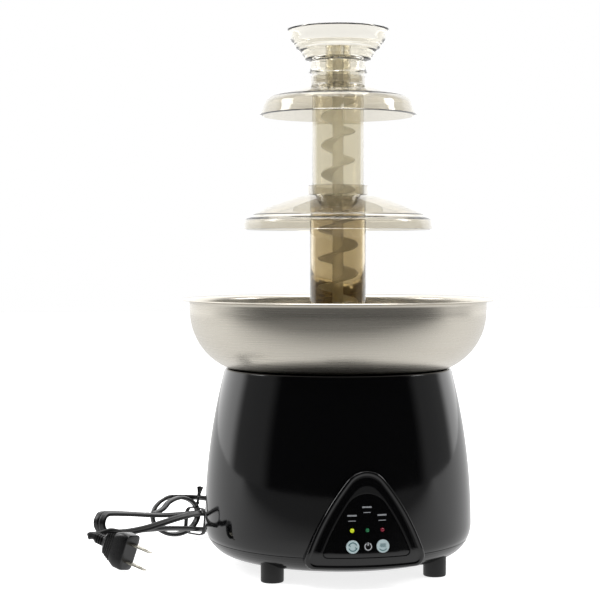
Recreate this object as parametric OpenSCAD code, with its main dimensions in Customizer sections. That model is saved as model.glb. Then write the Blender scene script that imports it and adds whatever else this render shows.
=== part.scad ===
// Three-tier chocolate fountain: a heated bowl on a moulded base, and an auger that turns inside
// a tower of clear tiers. The origin is on the auger's axis at the level the feet stand on, +Z is
// up, and the control panel faces -Y. All lengths are in millimetres.

/* [Base housing] */
// Largest radius of the housing
belly_r = 96; // [90:0.5:104]
// Height of the largest radius
belly_z = 30; // [28:0.5:34]
// How far the housing's top edge stands in from its largest radius
neck_draw = 14.6; // [12:0.2:17]
// Wall of the housing
wall = 2.6; // [2:0.1:3.4]
// Height of the flat underside
under_z = 9; // [7:0.5:10]
// Width of the rounded lower corner
corner_w = 20; // [16:1:24]
// Height of the rounded lower corner
corner_h = 22; // [18:1:22]
// Height of the joint between the housing and its bottom cover
parting_z = 20.6; // [18:0.2:22]
// Wall of the bottom cover
cover_wall = 2.4; // [2:0.1:3]

/* [Feet] */
// Radius of a foot
foot_r = 8; // [6:0.5:9]
// How far a foot stands in from the housing's largest radius
foot_inset = 15.2; // [14:0.2:20]
// Height of a foot, with the part inside its socket
foot_h = 16; // [14:0.5:18]

/* [Bowl] */
// Outer radius of the bowl's upright wall
bowl_r = 106.5; // [100:0.5:112]
// Height of the bowl's floor, underneath
bowl_floor_z = 138.6; // [134:0.2:142]
// Radius of the round between floor and wall
bowl_round = 43.8; // [38:0.2:48]
// Top of the upright wall
bowl_wall_z = 187.8; // [185:0.2:194]
// Width of the flared lip
lip_w = 5.2; // [3:0.2:7]
// Rise of the flared lip
lip_rise = 2.2; // [1:0.1:3]
// Thickness of the steel
steel_t = 0.8; // [0.6:0.1:1.2]

/* [Tower] */
// Outer radius of the lower tube
lower_tube_r = 20.2; // [19.5:0.1:22]
// Outer radius of the upper tube
upper_tube_r = 18.6; // [17.8:0.1:19]
// Wall of both tubes
tube_wall = 2.2; // [1.8:0.1:2.6]
// Height of the joint between the lower and the upper tube
large_joint_z = 266; // [256:0.5:272]
// Height of the joint between the upper tube and the small tier's collar
small_joint_z = 343; // [334:0.5:346]
// Rim radius of the large tier
large_tier_r = 68.3; // [60:0.5:74]
// Drop of the large tier from its collar to its rim
large_tier_drop = 25; // [20:0.5:30]
// Rim radius of the small tier
small_tier_r = 56.3; // [50:0.5:60]
// Drop of the small tier from its collar to its rim
small_tier_drop = 20; // [16:0.5:24]
// Wall of the tiers and the crown
tier_wall = 2; // [1.6:0.1:2.4]
// Rim radius of the crown's cup
crown_r = 36.8; // [33:0.2:40]
// Height of the crown's rim
crown_z = 384.2; // [380:0.2:390]

/* [Auger] */
// Pitch of the auger's flight
auger_pitch = 20.6; // [16:0.2:26]
// Radius of the flight in the lower tube
auger_low_r = 14.6; // [13:0.1:15.6]
// Radius of the flight in the upper tube
auger_high_r = 12.4; // [11:0.1:14]
// Radius of the auger's core
auger_core_r = 4; // [3.5:0.1:5]
// Thickness of the flight at its edge
flight_t = 1.6; // [1.2:0.1:2.4]

/* [Drive] */
// Radius of the output shaft
shaft_r = 3; // [2.5:0.1:3.4]
// Module of the teeth on the motor's side
fast_module = 1; // [0.9:0.05:1.1]
// Module of the teeth on the output side
slow_module = 1.25; // [1.1:0.05:1.35]
// Teeth of the motor's pinion
pinion_teeth = 12; // [10:1:14]
// Teeth of the idler's large wheel
idler_teeth = 36; // [30:1:38]
// Teeth of the idler's small wheel
idler_small_teeth = 12; // [10:1:14]
// Teeth of the output wheel
output_teeth = 40; // [36:1:42]
// Radius of the motor's can
motor_r = 18; // [16:0.5:20]
// Length of the motor's can
motor_len = 38; // [30:1:42]

/* [Control panel] */
// Half-width of the hood near its bottom
hood_half = 40.5; // [38:0.5:44]
// Height of the top of the hood
hood_top_z = 79.5; // [76:0.5:84]
// Height of the lower edge of the hood
hood_low_z = 14.5; // [13:0.5:16]
// How far the hood stands out at the bottom
hood_proud = 5.6; // [4.5:0.1:7]
// How far the hood stands out at the top
hood_proud_top = 2; // [1.6:0.1:3]
// Width of the raised bead round the hood
bead_w = 2.8; // [2:0.1:3.4]
// Distance between neighbouring buttons
button_pitch = 10.2; // [9.8:0.1:11]
// Radius of the two outer buttons
button_r = 4.4; // [4:0.1:4.5]
// Radius of the power button
power_r = 3; // [2.6:0.1:3.4]
// Height of the buttons
button_z = 30.2; // [29:0.2:32]
// Height of the indicator lamps
lamp_z = 40.8; // [39:0.2:44]
// Radius of an indicator lamp
lamp_r = 1.5; // [1.2:0.1:2]
// How far a button travels
button_travel = 0.8; // [0.5:0.1:1]

/* [Mains lead] */
// Width of the flat twin lead
lead_w = 5.4; // [5:0.1:5.6]
// Thickness of the flat twin lead
lead_t = 2.8; // [2.6:0.1:3]
// Distance between the plug's two blades
blade_gap = 12.7; // [12.7:0.1:12.7]
// Length of the plug's blades
blade_len = 17; // [15.9:0.1:18.3]

/* [Hidden] */
$fn = 72;

// Small clearances between neighbouring pieces
touch_gap = 0.1;
slide_gap = 0.3;
run_gap = 0.05;
overrun = 1;
arc_steps = 12;

// Points of an arc, from one angle to another
function arc(cx, cy, r, from, to, n = arc_steps) =
    [for (i = [0:n]) let (a = from + (to - from) * i / n) [cx + r * cos(a), cy + r * sin(a)]];
function oval(cx, cy, rx, ry, from, to, n = arc_steps) =
    [for (i = [0:n]) let (a = from + (to - from) * i / n) [cx + rx * cos(a), cy + ry * sin(a)]];
function flip(points) = [for (i = [len(points) - 1:-1:0]) points[i]];
// Closed band between a line of points and the same line moved inwards
function unit2(v) = v / norm(v);
function offset_line(p, t) =
    [for (i = [0:len(p) - 1])
        let (a = p[max(i - 1, 0)], b = p[min(i + 1, len(p) - 1)], d = unit2(b - a))
        [p[i].x - t * d.y, p[i].y + t * d.x]];
function band(p, t) = concat(p, flip(offset_line(p, t)));

bowl_flat_r = bowl_r - bowl_round;
neck_r = belly_r - neck_draw;
foot_ring_r = belly_r - foot_inset;

// Housing: the belly is one arc from its largest radius to the neck
seam_out = neck_r - wall - bowl_flat_r;
seam_z = bowl_floor_z + bowl_round - sqrt(pow(bowl_round, 2) - pow(seam_out, 2)) - slide_gap;
belly_arc_r = (pow(seam_z - belly_z, 2) + pow(belly_r - neck_r, 2)) / (2 * (belly_r - neck_r));
function belly(z) = belly_r - belly_arc_r + sqrt(pow(belly_arc_r, 2) - pow(max(z - belly_z, 0), 2));
corner_x = belly_r - corner_w;
function corner(z) = z >= under_z + corner_h ? belly_r
    : corner_x + corner_w * sqrt(1 - pow((under_z + corner_h - z) / corner_h, 2));
function skin(z) = min(belly(z), corner(z));
flange_z = bowl_floor_z - 3;
flange_in_r = 53;
flange_t = 3;
stud_ring_r = 57.5;
stud_r = 2;
tongue_h = 5;
edge_round = 1.6;
edge_from = 20;

// Feet, screws and posts stand on their own rings
foot_angles = [45, 135, 225, 315];
screw_angles = [22, 112, 202, 292];
screw_inset = 18;
screw_ring_r = belly_r - screw_inset;
screw_r = 1.6;
screw_head_r = 3;
boss_wall = 2.2;
boss_top_z = 44;

// Bowl floor and what hangs under it
floor_top_z = bowl_floor_z + steel_t;
lip_r = bowl_r + lip_w;
lip_lean = 10;
seal_r = 9;
seal_flange_r = 12;
seal_flange_t = 1.5;
post_ring_r = 26;
post_angles = [90, 210, 330];
post_r = 1.9;
post_head_r = 3;
post_head_h = 6.4;
plate_z = 121.6;
plate_t = 2;
spacer_r = 4.4;
nut_h = 3.2;
nut_af_r = 4;
heater_plate_t = 2;
heater_in_r = 32;
heater_out_r = 51;
element_r = 3.2;
element_ring_r = 42;
element_open = 50;

// Gear train: the idler stands beside the output shaft and the motor under the case
slow_mesh = slow_module * (output_teeth + idler_small_teeth) / 2;
fast_mesh = fast_module * (idler_teeth + pinion_teeth) / 2;
idler_angle = 30;
motor_turn = 125;
idler_x = slow_mesh * cos(idler_angle);
idler_y = slow_mesh * sin(idler_angle);
motor_x = idler_x + fast_mesh * cos(idler_angle + motor_turn);
motor_y = idler_y + fast_mesh * sin(idler_angle + motor_turn);
case_wall = 2;
case_top_z = plate_z - plate_t;
case_h = 23;
case_z = case_top_z - case_h;
case_gap = 3;
slow_gear_h = 6.5;
slow_gear_z = case_top_z - nut_h - 2 * overrun - slow_gear_h;
fast_gear_h = 5;
gear_rise = 1.2;
fast_gear_z = case_z + case_wall + gear_rise;
pin_r = 2;
motor_shaft_r = 1.5;
hub_r = 6;
lug_r = 4.2;

// Tower heights
tube_foot_z = floor_top_z + slide_gap;
foot_flange_r = 30;
foot_flange_t = 2.4;
inlet_w = 14;
inlet_h = 16;
joint_sleeve_h = 8;
collar_h = 6.6;
large_collar_r = 21.6;
small_collar_r = 19.6;
small_collar_h = 7.2;
neck_tube_r = 9;
neck_tube_wall = 1.6;
neck_top_z = 370.5;
stem_low_z = 353;
stem_high_z = 361.8;
stem_r = 20.2;
slot_w = 2.6;
slot_drop = 9;
slot_turn = 100;
slot_hook_turn = 12;
hex_r = 2.9;
hex_h = 12;
auger_low_z = floor_top_z + 2.2;
auger_top_z = 375;
auger_step_z = large_joint_z - 7;
auger_flight_top_z = small_joint_z - 2;

// Panel: an arched triangle whose sides are arcs of one radius
side_arc_r = 160.8;
side_cz = -28.2;
side_ref_z = 23;
top_round = 16;
low_round = 6;
side_cx = sqrt(pow(side_arc_r, 2) - pow(side_ref_z - side_cz, 2)) - hood_half;
fascia_inset = 9.3;
fascia_top_round = 15.5;
fascia_low_z = 22.6;
fascia_low_round = 3;
fascia_t = 1.6;
fascia_sink = 0.6;
ledge_w = 2.4;
bead_h = 1;
hood_bend_z = 25;
hood_slope = (belly(hood_top_z) + hood_proud_top - belly_r - hood_proud) / (hood_top_z - hood_bend_z);
function hood_face(z) = belly_r + hood_proud + hood_slope * (max(z, hood_bend_z) - hood_bend_z)
    - (z < hood_bend_z ? hood_bend_z - z : 0) * low_slope_share;
low_slope_share = 0.3;
tilt = atan(-hood_slope);
board_back = 14;
board_w = 39;
board_h = 23.4;
board_t = 1.6;
board_up = 8.6;
switch_w = 6;
switch_h = 3.6;
plunger_r = 1.7;
plunger_h = 1.4;
button_flange = 1.3;
button_flange_t = 1;
button_out = 0.8;
lamp_out = 0.5;
board_post_r = 1.5;
board_post_x = 17.8;
board_post_up = 1;

// Arched outline drawn inwards by an inset, from its low edge to its top round
function side_x(z, r) = sqrt(pow(r, 2) - pow(z - side_cz, 2)) - side_cx;
function arch(inset, top_r, low_z, low_r) =
    let (r = side_arc_r - inset,
         top_c = side_cz + sqrt(pow(r - top_r, 2) - pow(side_cx, 2)),
         low_x = sqrt(pow(r - low_r, 2) - pow(low_z + low_r - side_cz, 2)) - side_cx,
         low_a = atan2(low_z + low_r - side_cz, low_x + side_cx),
         top_a = atan2(top_c - side_cz, side_cx),
         half = concat(arc(low_x, low_z + low_r, low_r, -90, low_a, 4),
                       arc(-side_cx, side_cz, r, low_a, top_a, 8),
                       arc(0, top_c, top_r, top_a, 90, 5)))
    concat(half, [for (i = [len(half) - 2:-1:0]) [-half[i].x, half[i].y]]);

module hood_outline(inset = 0) polygon(arch(inset, top_round - inset, hood_low_z + inset, low_round));
module fascia_outline(inset = 0)
    polygon(arch(fascia_inset + inset, fascia_top_round - inset, fascia_low_z + inset, fascia_low_round));
// Stands an outline up in the XZ plane and pushes it out through the front
module forward(from, to) rotate([90, 0, 0]) translate([0, 0, from]) linear_extrude(to - from) children();
// Front part of a solid of revolution
panel_angle = 70;
module front_turn(points)
    rotate([0, 0, -90 - panel_angle / 2]) rotate_extrude(angle = panel_angle) polygon(points);
// A frame on the fascia's face, with +Z out of it
module at_control(x, z)
    translate([x, -hood_face(z) + fascia_sink, z]) rotate([90 - tilt, 0, 0]) children();
module ring(r_out, r_in, h) difference() {
    cylinder(r = r_out, h = h);
    translate([0, 0, -overrun]) cylinder(r = r_in, h = h + 2 * overrun);
}
module around(angles, r) for (a = angles) rotate([0, 0, a]) translate([r, 0, 0]) children();

// Involute wheel with a little backlash, a tooth on the +X axis
pressure = 25;
backlash = 0.3;
addendum_share = 0.9;
dedendum_share = 1.2;
flank_steps = 4;
function inv(a) = tan(a) * 180 / PI - a;
function flank(m, z) =
    let (rp = m * z / 2, rb = rp * cos(pressure), ra = rp + addendum_share * m,
         low = max(rb, rp - dedendum_share * m), half = 90 / z - backlash / rp * 90 / PI / 2)
    [for (i = [0:flank_steps]) let (r = low + (ra - low) * i / flank_steps)
        [r, half + inv(pressure) - inv(acos(min(1, rb / r)))]];
module wheel(m, z, h) {
    f = flank(m, z);
    root = m * z / 2 - dedendum_share * m;
    tooth = concat([[root, f[0][1]]], f);
    points = [for (k = [0:z - 1], p = concat([for (q = tooth) [q[0], -q[1]]], flip(tooth)))
        [p[0] * cos(k * 360 / z + p[1]), p[0] * sin(k * 360 / z + p[1])]];
    linear_extrude(h) polygon(points);
}
module hex_nut(h) difference() {
    cylinder(r = nut_af_r, h = h, $fn = 6);
    translate([0, 0, -overrun]) cylinder(r = stud_r + touch_gap, h = h + 2 * overrun);
}

// Housing and panel
housing_line = concat([for (i = [0:14]) let (z = parting_z + touch_gap
        + (seam_z - edge_round - parting_z) * i / 14) [skin(z), z]],
    arc(skin(seam_z - edge_round) - edge_round, seam_z - edge_round, edge_round, edge_from, 90, 4));
exit_z = 30.6;
exit_r = 5;
module base_housing() color("#101012") difference() {
    union() {
        rotate_extrude() polygon(concat(housing_line,
            [for (i = [14:-1:0]) let (z = parting_z + touch_gap + (seam_z - wall - parting_z) * i / 14)
                [skin(z) - wall, z]]));
        translate([0, 0, flange_z]) ring(belly(flange_z) - wall + touch_gap,
            flange_in_r, flange_t);
        around(screw_angles, screw_ring_r) translate([0, 0, parting_z + tongue_h + overrun])
            difference() {
                cylinder(r = screw_r + boss_wall, h = boss_top_z - parting_z - tongue_h);
                translate([0, 0, -overrun]) cylinder(r = screw_r + run_gap, h = boss_top_z);
            }
        around(screw_angles, screw_ring_r)
            translate([screw_r + boss_wall / 2, -boss_wall / 2, parting_z + tongue_h + overrun])
                cube([screw_inset - wall / 2 - screw_r - boss_wall / 2 - overrun, boss_wall,
                    boss_top_z - parting_z - tongue_h]);
    }
    around(post_angles, stud_ring_r) translate([0, 0, flange_z - overrun])
        cylinder(r = stud_r + touch_gap, h = flange_t + 2 * overrun);
    forward(corner_x - board_back, belly_r + 2 * overrun)
        polygon(arch(fascia_inset + 2 * ledge_w, fascia_top_round - 2 * ledge_w,
            fascia_low_z + 2 * ledge_w, 1));
    translate([0, corner_x, exit_z]) rotate([-90, 0, 0]) cylinder(r = exit_r, h = belly_r);
}
hood_line_n = 8;
hood_back_steps = 4;
function hood_z(i) = hood_low_z + (hood_top_z + bead_h - hood_low_z) * i / hood_line_n;
module hood_shell(lift) front_turn(concat(
    [for (i = [0:hood_line_n]) [hood_face(hood_z(i)) + lift, hood_z(i)]],
    [for (i = [hood_line_n:-1 / hood_back_steps:0]) [skin(hood_z(i)) + slide_gap, hood_z(i)]]));
module control_hood() color("#141416") difference() {
    union() {
        intersection() {
            hood_shell(0);
            forward(corner_x / 2, belly_r + hood_proud * 2) hood_outline(0);
        }
        intersection() {
            hood_shell(bead_h);
            forward(corner_x / 2, belly_r + hood_proud * 2) difference() {
                hood_outline(0);
                hood_outline(bead_w);
            }
        }
    }
    intersection() {
        front_turn(concat(
            [for (i = [0:hood_line_n])
                [hood_face(hood_z(i)) - fascia_sink - fascia_t - touch_gap, hood_z(i)]],
            [[belly_r + 2 * hood_proud, hood_z(hood_line_n)], [belly_r + 2 * hood_proud, hood_z(0)]]));
        forward(corner_x / 2, belly_r + hood_proud * 3) fascia_outline(-touch_gap);
    }
    forward(corner_x / 2, belly_r + hood_proud * 3) fascia_outline(ledge_w);
}
panel_xs = [-button_pitch, 0, button_pitch];
panel_rs = [button_r, power_r, button_r];
module fascia() color("#0c0c0e") difference() {
    union() {
        intersection() {
            front_turn(concat(
                [for (i = [0:hood_line_n]) [hood_face(hood_z(i)) - fascia_sink, hood_z(i)]],
                [for (i = [hood_line_n:-1:0])
                    [hood_face(hood_z(i)) - fascia_sink - fascia_t, hood_z(i)]]));
            forward(corner_x / 2, belly_r + hood_proud * 3) fascia_outline(0);
        }
        for (x = [-board_post_x, board_post_x]) at_control(0, button_z)
            translate([x, board_post_up, -board_back + touch_gap])
                cylinder(r = board_post_r, h = board_back - fascia_t - overrun / 2 - touch_gap);
    }
    for (i = [0:2]) at_control(panel_xs[i], button_z)
        translate([0, 0, -3 * fascia_t]) cylinder(r = panel_rs[i] + touch_gap, h = 6 * fascia_t);
    for (x = panel_xs) at_control(x, lamp_z)
        translate([0, 0, -3 * fascia_t]) cylinder(r = lamp_r + run_gap, h = 6 * fascia_t);
}
module control_board() color("#1f5a36") at_control(0, button_z)
    translate([-board_w / 2, board_up - board_h / 2, -board_back - board_t])
        cube([board_w, board_h, board_t]);
module tact_switches() color("#2b2b2e") for (x = panel_xs) at_control(0, button_z)
    translate([x, 0, -board_back]) {
        translate([-switch_w / 2, -switch_w / 2, 0]) cube([switch_w, switch_w, switch_h]);
        translate([0, 0, switch_h]) cylinder(r = plunger_r, h = plunger_h);
    }
module indicator_lamps() color("#d8d8c8") for (x = panel_xs) at_control(0, lamp_z)
    translate([x, 0, -board_back]) {
        cylinder(r = lamp_r, h = board_back - overrun / 2);
        translate([0, 0, board_back - overrun / 2]) cylinder(r1 = lamp_r, r2 = lamp_r / 2, h = overrun);
    }
push_r = 1.6;
button_gap = 0.2;
module button(x, r) at_control(0, button_z) translate([x, 0, -sag(x)]) {
    translate([0, 0, -button_flange_z]) cylinder(r = r, h = button_flange_z + button_out);
    translate([0, 0, -button_flange_z - button_flange_t]) intersection() {
        cylinder(r = r + button_flange, h = button_flange_t);
        translate([-r - button_flange, -button_r - touch_gap, 0])
            cube([2 * (r + button_flange), 2 * (r + button_flange), button_flange_t]);
    }
    translate([0, 0, -board_back + switch_h + plunger_h + button_travel + button_gap + sag(x)])
        cylinder(r = push_r, h = board_back - switch_h - plunger_h - button_travel - button_gap
            - button_flange_z - sag(x));
}
button_flange_z = 2.9;
// How far the curved fascia falls back at a distance from its middle
function sag(x) = hood_face(button_z) - sqrt(pow(hood_face(button_z), 2) - pow(x, 2));
module mix_button() color("#dfe9ea") button(-button_pitch, button_r);
module power_button() color("#1a1a1c") button(0, power_r);
module heat_button() color("#dfe9ea") button(button_pitch, button_r);

// Bottom cover with sockets for the feet
cover_line = oval(corner_x, under_z + corner_h, corner_w, corner_h, -90,
    -asin((under_z + corner_h - parting_z) / corner_h), 10);
cover_inner = oval(corner_x, under_z + corner_h, corner_w - cover_wall, corner_h - cover_wall, -90,
    -asin((under_z + corner_h - parting_z) / (corner_h - cover_wall)), 10);
tongue_r = skin(parting_z) - wall - slide_gap;
vent_count = 12;
vent_r = 40;
vent_w = 3;
vent_turn = 15;
vent_len = 22;
module bottom_cover() color("#131315") difference() {
    union() {
        rotate_extrude() polygon(concat([[0, under_z]], cover_line, flip(cover_inner),
            [[0, under_z + cover_wall]]));
        translate([0, 0, parting_z - cover_wall])
            ring(skin(parting_z - cover_wall) - overrun / 2, tongue_r - cover_wall, cover_wall);
        translate([0, 0, parting_z - overrun])
            ring(tongue_r - overrun, tongue_r - overrun - cover_wall / 2, tongue_h);
        intersection() {
            union() {
                around(foot_angles, foot_ring_r) translate([0, 0, under_z])
                    cylinder(r = foot_r + cover_wall, h = foot_h + cover_wall - under_z);
                around(screw_angles, screw_ring_r) translate([0, 0, under_z])
                    cylinder(r = screw_head_r + boss_wall, h = parting_z + tongue_h + overrun - under_z);
            }
            rotate_extrude() polygon(concat([[0, under_z]], cover_line,
                [[tongue_r - overrun, parting_z], [tongue_r - overrun, boss_top_z], [0, boss_top_z]]));
        }
    }
    around(foot_angles, foot_ring_r) translate([0, 0, -overrun])
        cylinder(r = foot_r + touch_gap, h = foot_h + touch_gap + overrun);
    around(screw_angles, screw_ring_r) {
        translate([0, 0, -overrun]) cylinder(r = screw_head_r + touch_gap, h = parting_z + overrun);
        translate([0, 0, -overrun]) cylinder(r = screw_r + run_gap, h = boss_top_z);
    }
    around([for (k = [0:vent_count - 1]) k * 360 / vent_count + vent_turn], vent_r)
        translate([-vent_len / 2, -vent_w / 2, under_z - overrun])
            cube([vent_len, vent_w, cover_wall + 2 * overrun]);
}
module cover_screws() color("#8d9094") around(screw_angles, screw_ring_r) {
    translate([0, 0, parting_z - 2 * screw_r]) cylinder(r = screw_head_r, h = 2 * screw_r);
    translate([0, 0, parting_z]) cylinder(r = screw_r, h = boss_top_z - parting_z - 2 * overrun);
}
foot_chamfer = 0.8;
module feet() color("#1b1b1d") around(foot_angles, foot_ring_r) {
    cylinder(r1 = foot_r - foot_chamfer, r2 = foot_r, h = foot_chamfer);
    translate([0, 0, foot_chamfer]) cylinder(r = foot_r, h = foot_h - foot_chamfer);
}

// Bowl: flat floor, one large round and a flared lip, all of one sheet
bowl_line = concat([[seal_r + touch_gap, bowl_floor_z]],
    arc(bowl_flat_r, bowl_floor_z + bowl_round, bowl_round, -90, 0, 20),
    [[bowl_r, bowl_wall_z]],
    arc(bowl_r + lip_rise, bowl_wall_z, lip_rise, 180, 90 + lip_lean, 4),
    [[lip_r, bowl_wall_z + lip_rise + steel_t / 2]]);
module bowl() color("#b9b6b0") difference() {
    rotate_extrude() polygon(band(bowl_line, steel_t));
    around(post_angles, post_ring_r) translate([0, 0, bowl_floor_z - overrun])
        cylinder(r = post_r + touch_gap, h = steel_t + 2 * overrun);
}
module shaft_seal() color("#5b1f1a") rotate_extrude() polygon([
    [shaft_r + run_gap, bowl_floor_z - heater_plate_t - overrun],
    [seal_r, bowl_floor_z - heater_plate_t - overrun], [seal_r, floor_top_z + touch_gap],
    [seal_flange_r, floor_top_z + touch_gap], [seal_flange_r - overrun, floor_top_z + seal_flange_t],
    [shaft_r + run_gap, floor_top_z + seal_flange_t]]);
module tower_posts() color("#c9c9c6") around(post_angles, post_ring_r) {
    translate([0, 0, plate_z - plate_t - nut_h - overrun])
        cylinder(r = post_r, h = floor_top_z - plate_z + plate_t + nut_h + overrun);
    translate([0, 0, floor_top_z]) cylinder(r = post_head_r, h = post_head_h - foot_chamfer);
    translate([0, 0, floor_top_z + post_head_h - foot_chamfer])
        cylinder(r1 = post_head_r, r2 = post_head_r - foot_chamfer, h = foot_chamfer);
}
module post_spacers() color("#9a9da0") around(post_angles, post_ring_r) translate([0, 0, plate_z])
    ring(spacer_r, post_r + touch_gap, bowl_floor_z - plate_z);
module post_nuts() color("#8d9094") around(post_angles, post_ring_r)
    translate([0, 0, plate_z - plate_t - nut_h]) difference() {
        cylinder(r = nut_af_r, h = nut_h, $fn = 6);
        translate([0, 0, -overrun]) cylinder(r = post_r + run_gap, h = nut_h + 2 * overrun);
    }
module bowl_studs() color("#b9b6b0") around(post_angles, stud_ring_r)
    translate([0, 0, flange_z - nut_h - overrun])
        cylinder(r = stud_r, h = bowl_floor_z - flange_z + nut_h + overrun);
module stud_nuts() color("#8d9094") around(post_angles, stud_ring_r)
    translate([0, 0, flange_z - nut_h]) hex_nut(nut_h);

// Heater under the floor, with its safety parts
heater_angles = [150, 270, 30];
module heater_plate() color("#a9abad") translate([0, 0, bowl_floor_z - heater_plate_t])
    ring(heater_out_r, heater_in_r, heater_plate_t);
terminal_r = 1.4;
terminal_h = 10;
terminal_turn = 4;
module heating_element() color("#6f6a64") {
    intersection() {
        translate([0, 0, bowl_floor_z - heater_plate_t - element_r])
            rotate([0, 0, element_open / 2]) rotate_extrude(angle = 360 - element_open)
                translate([element_ring_r, 0]) circle(r = element_r, $fn = 24);
        translate([0, 0, bowl_floor_z - heater_plate_t - 2 * element_r - overrun])
            cylinder(r = 2 * element_ring_r, h = 2 * element_r + overrun);
    }
    around([element_open / 2 + terminal_turn, 360 - element_open / 2 - terminal_turn], element_ring_r)
        translate([0, 0, bowl_floor_z - heater_plate_t - element_r - terminal_h])
            cylinder(r = terminal_r, h = terminal_h);
}
thermostat_r = 7;
thermostat_h = 7;
module thermostat() color("#d9d3c4") rotate([0, 0, 200])
    translate([element_ring_r, 0, bowl_floor_z - heater_plate_t - 2 * element_r - thermostat_h]) {
        cylinder(r = thermostat_r, h = thermostat_h);
        for (y = [-thermostat_r / 2, thermostat_r / 2])
            translate([-terminal_r, y - terminal_r / 4, -thermostat_h / 2])
            cube([2 * terminal_r, terminal_r / 2, thermostat_h / 2]);
    }
fuse_len = 14;
fuse_r = 2;
module thermal_fuse() color("#b8bcc0") rotate([0, 0, 0])
    translate([element_ring_r, 0, bowl_floor_z - heater_plate_t - fuse_r]) rotate([90, 0, 0])
        translate([0, 0, -fuse_len / 2]) cylinder(r = fuse_r, h = fuse_len);

// Gearbox between the spacers and the motor
plate_r = post_ring_r + 2 * spacer_r;
module gearbox_plate() color("#9a9da0") translate([0, 0, plate_z - plate_t]) difference() {
    union() {
        cylinder(r = plate_r, h = plate_t);
        linear_extrude(plate_t) case_outline(case_wall + lug_r);
    }
    translate([0, 0, -overrun]) cylinder(r = shaft_r + run_gap, h = plate_t + 2 * overrun);
    around(post_angles, post_ring_r) translate([0, 0, -overrun])
        cylinder(r = post_r + touch_gap, h = plate_t + 2 * overrun);
}
module case_outline(grow = 0) {
    circle(r = slow_module * output_teeth / 2 + case_gap + grow);
    translate([idler_x, idler_y]) circle(r = fast_module * idler_teeth / 2 + case_gap + grow);
    translate([motor_x, motor_y]) circle(r = fast_module * pinion_teeth / 2 + case_gap + grow);
}
module gearbox_case() color("#d8d5cc") translate([0, 0, case_z]) difference() {
    union() {
        linear_extrude(case_h) case_outline(case_wall);
        translate([0, 0, -case_wall]) cylinder(r = hub_r + case_wall, h = 2 * case_wall);
    }
    translate([0, 0, case_wall]) linear_extrude(case_h) case_outline();
    around(post_angles, post_ring_r) translate([0, 0, case_h - nut_h - 2 * overrun])
        cylinder(r = nut_af_r + slide_gap, h = case_h);
    translate([0, 0, -case_wall - overrun]) cylinder(r = shaft_r + run_gap, h = 4 * case_wall);
    translate([motor_x, motor_y, -overrun]) cylinder(r = motor_shaft_r + slide_gap, h = 2 * case_wall);
    translate([idler_x, idler_y, -overrun]) cylinder(r = pin_r + run_gap, h = 2 * case_wall);
}
module idler_pin() color("#b8bcc0") translate([idler_x, idler_y, case_z - overrun])
    cylinder(r = pin_r, h = case_h + overrun - touch_gap);
motor_top_z = case_z - touch_gap;
boss_r = 5;
module motor() color("#7d8084") translate([motor_x, motor_y, motor_top_z - motor_len]) difference() {
    union() {
        cylinder(r = motor_r, h = motor_len);
        translate([0, 0, -case_wall]) cylinder(r = boss_r, h = case_wall);
        for (x = [-motor_r / 2, motor_r / 2]) translate([x - terminal_r, -terminal_r / 4, -2 * case_wall])
            cube([2 * terminal_r, terminal_r / 2, 2 * case_wall]);
    }
    translate([0, 0, motor_len / 3]) cylinder(r = motor_shaft_r + run_gap, h = motor_len);
    translate([-motor_x, -motor_y, -overrun]) cylinder(r = hub_r + 2 * case_wall, h = 2 * motor_len);
}

// Turning pieces
hex_low_z = auger_low_z + overrun;
module output_shaft() color("#c9c9c6") {
    translate([0, 0, case_z - case_wall]) cylinder(r = shaft_r, h = hex_low_z - case_z + case_wall);
    translate([0, 0, hex_low_z]) cylinder(r = hex_r, h = hex_h, $fn = 6);
}
module output_gear() color("#e8e4d8") difference() {
    union() {
        translate([0, 0, slow_gear_z]) rotate([0, 0, idler_angle])
            wheel(slow_module, output_teeth, slow_gear_h);
        translate([0, 0, fast_gear_z]) cylinder(r = hub_r, h = slow_gear_z - fast_gear_z + overrun);
    }
    translate([0, 0, case_z]) cylinder(r = shaft_r + run_gap / 2, h = case_h);
}
module idler_gear() color("#e8e4d8") translate([idler_x, idler_y, 0]) difference() {
    union() {
        translate([0, 0, fast_gear_z]) rotate([0, 0, idler_angle + motor_turn])
            wheel(fast_module, idler_teeth, fast_gear_h);
        translate([0, 0, fast_gear_z + fast_gear_h - overrun / 2])
            rotate([0, 0, idler_angle + 180 + 180 / idler_small_teeth])
                wheel(slow_module, idler_small_teeth, case_top_z - overrun / 2 - fast_gear_z - fast_gear_h);
    }
    translate([0, 0, case_z]) cylinder(r = pin_r + run_gap, h = case_h + overrun);
}
module motor_shaft() color("#c9c9c6") translate([motor_x, motor_y, motor_top_z - motor_len / 2])
    cylinder(r = motor_shaft_r, h = motor_len / 2 + touch_gap + fast_gear_z - case_z + fast_gear_h + overrun);
module motor_pinion() color("#c8a24a") translate([motor_x, motor_y, fast_gear_z - overrun / 2])
    difference() {
        rotate([0, 0, idler_angle + motor_turn + 180 + 180 / pinion_teeth])
            wheel(fast_module, pinion_teeth, fast_gear_h + overrun);
        translate([0, 0, -overrun]) cylinder(r = motor_shaft_r + run_gap / 2, h = fast_gear_h + 3 * overrun);
    }

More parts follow.
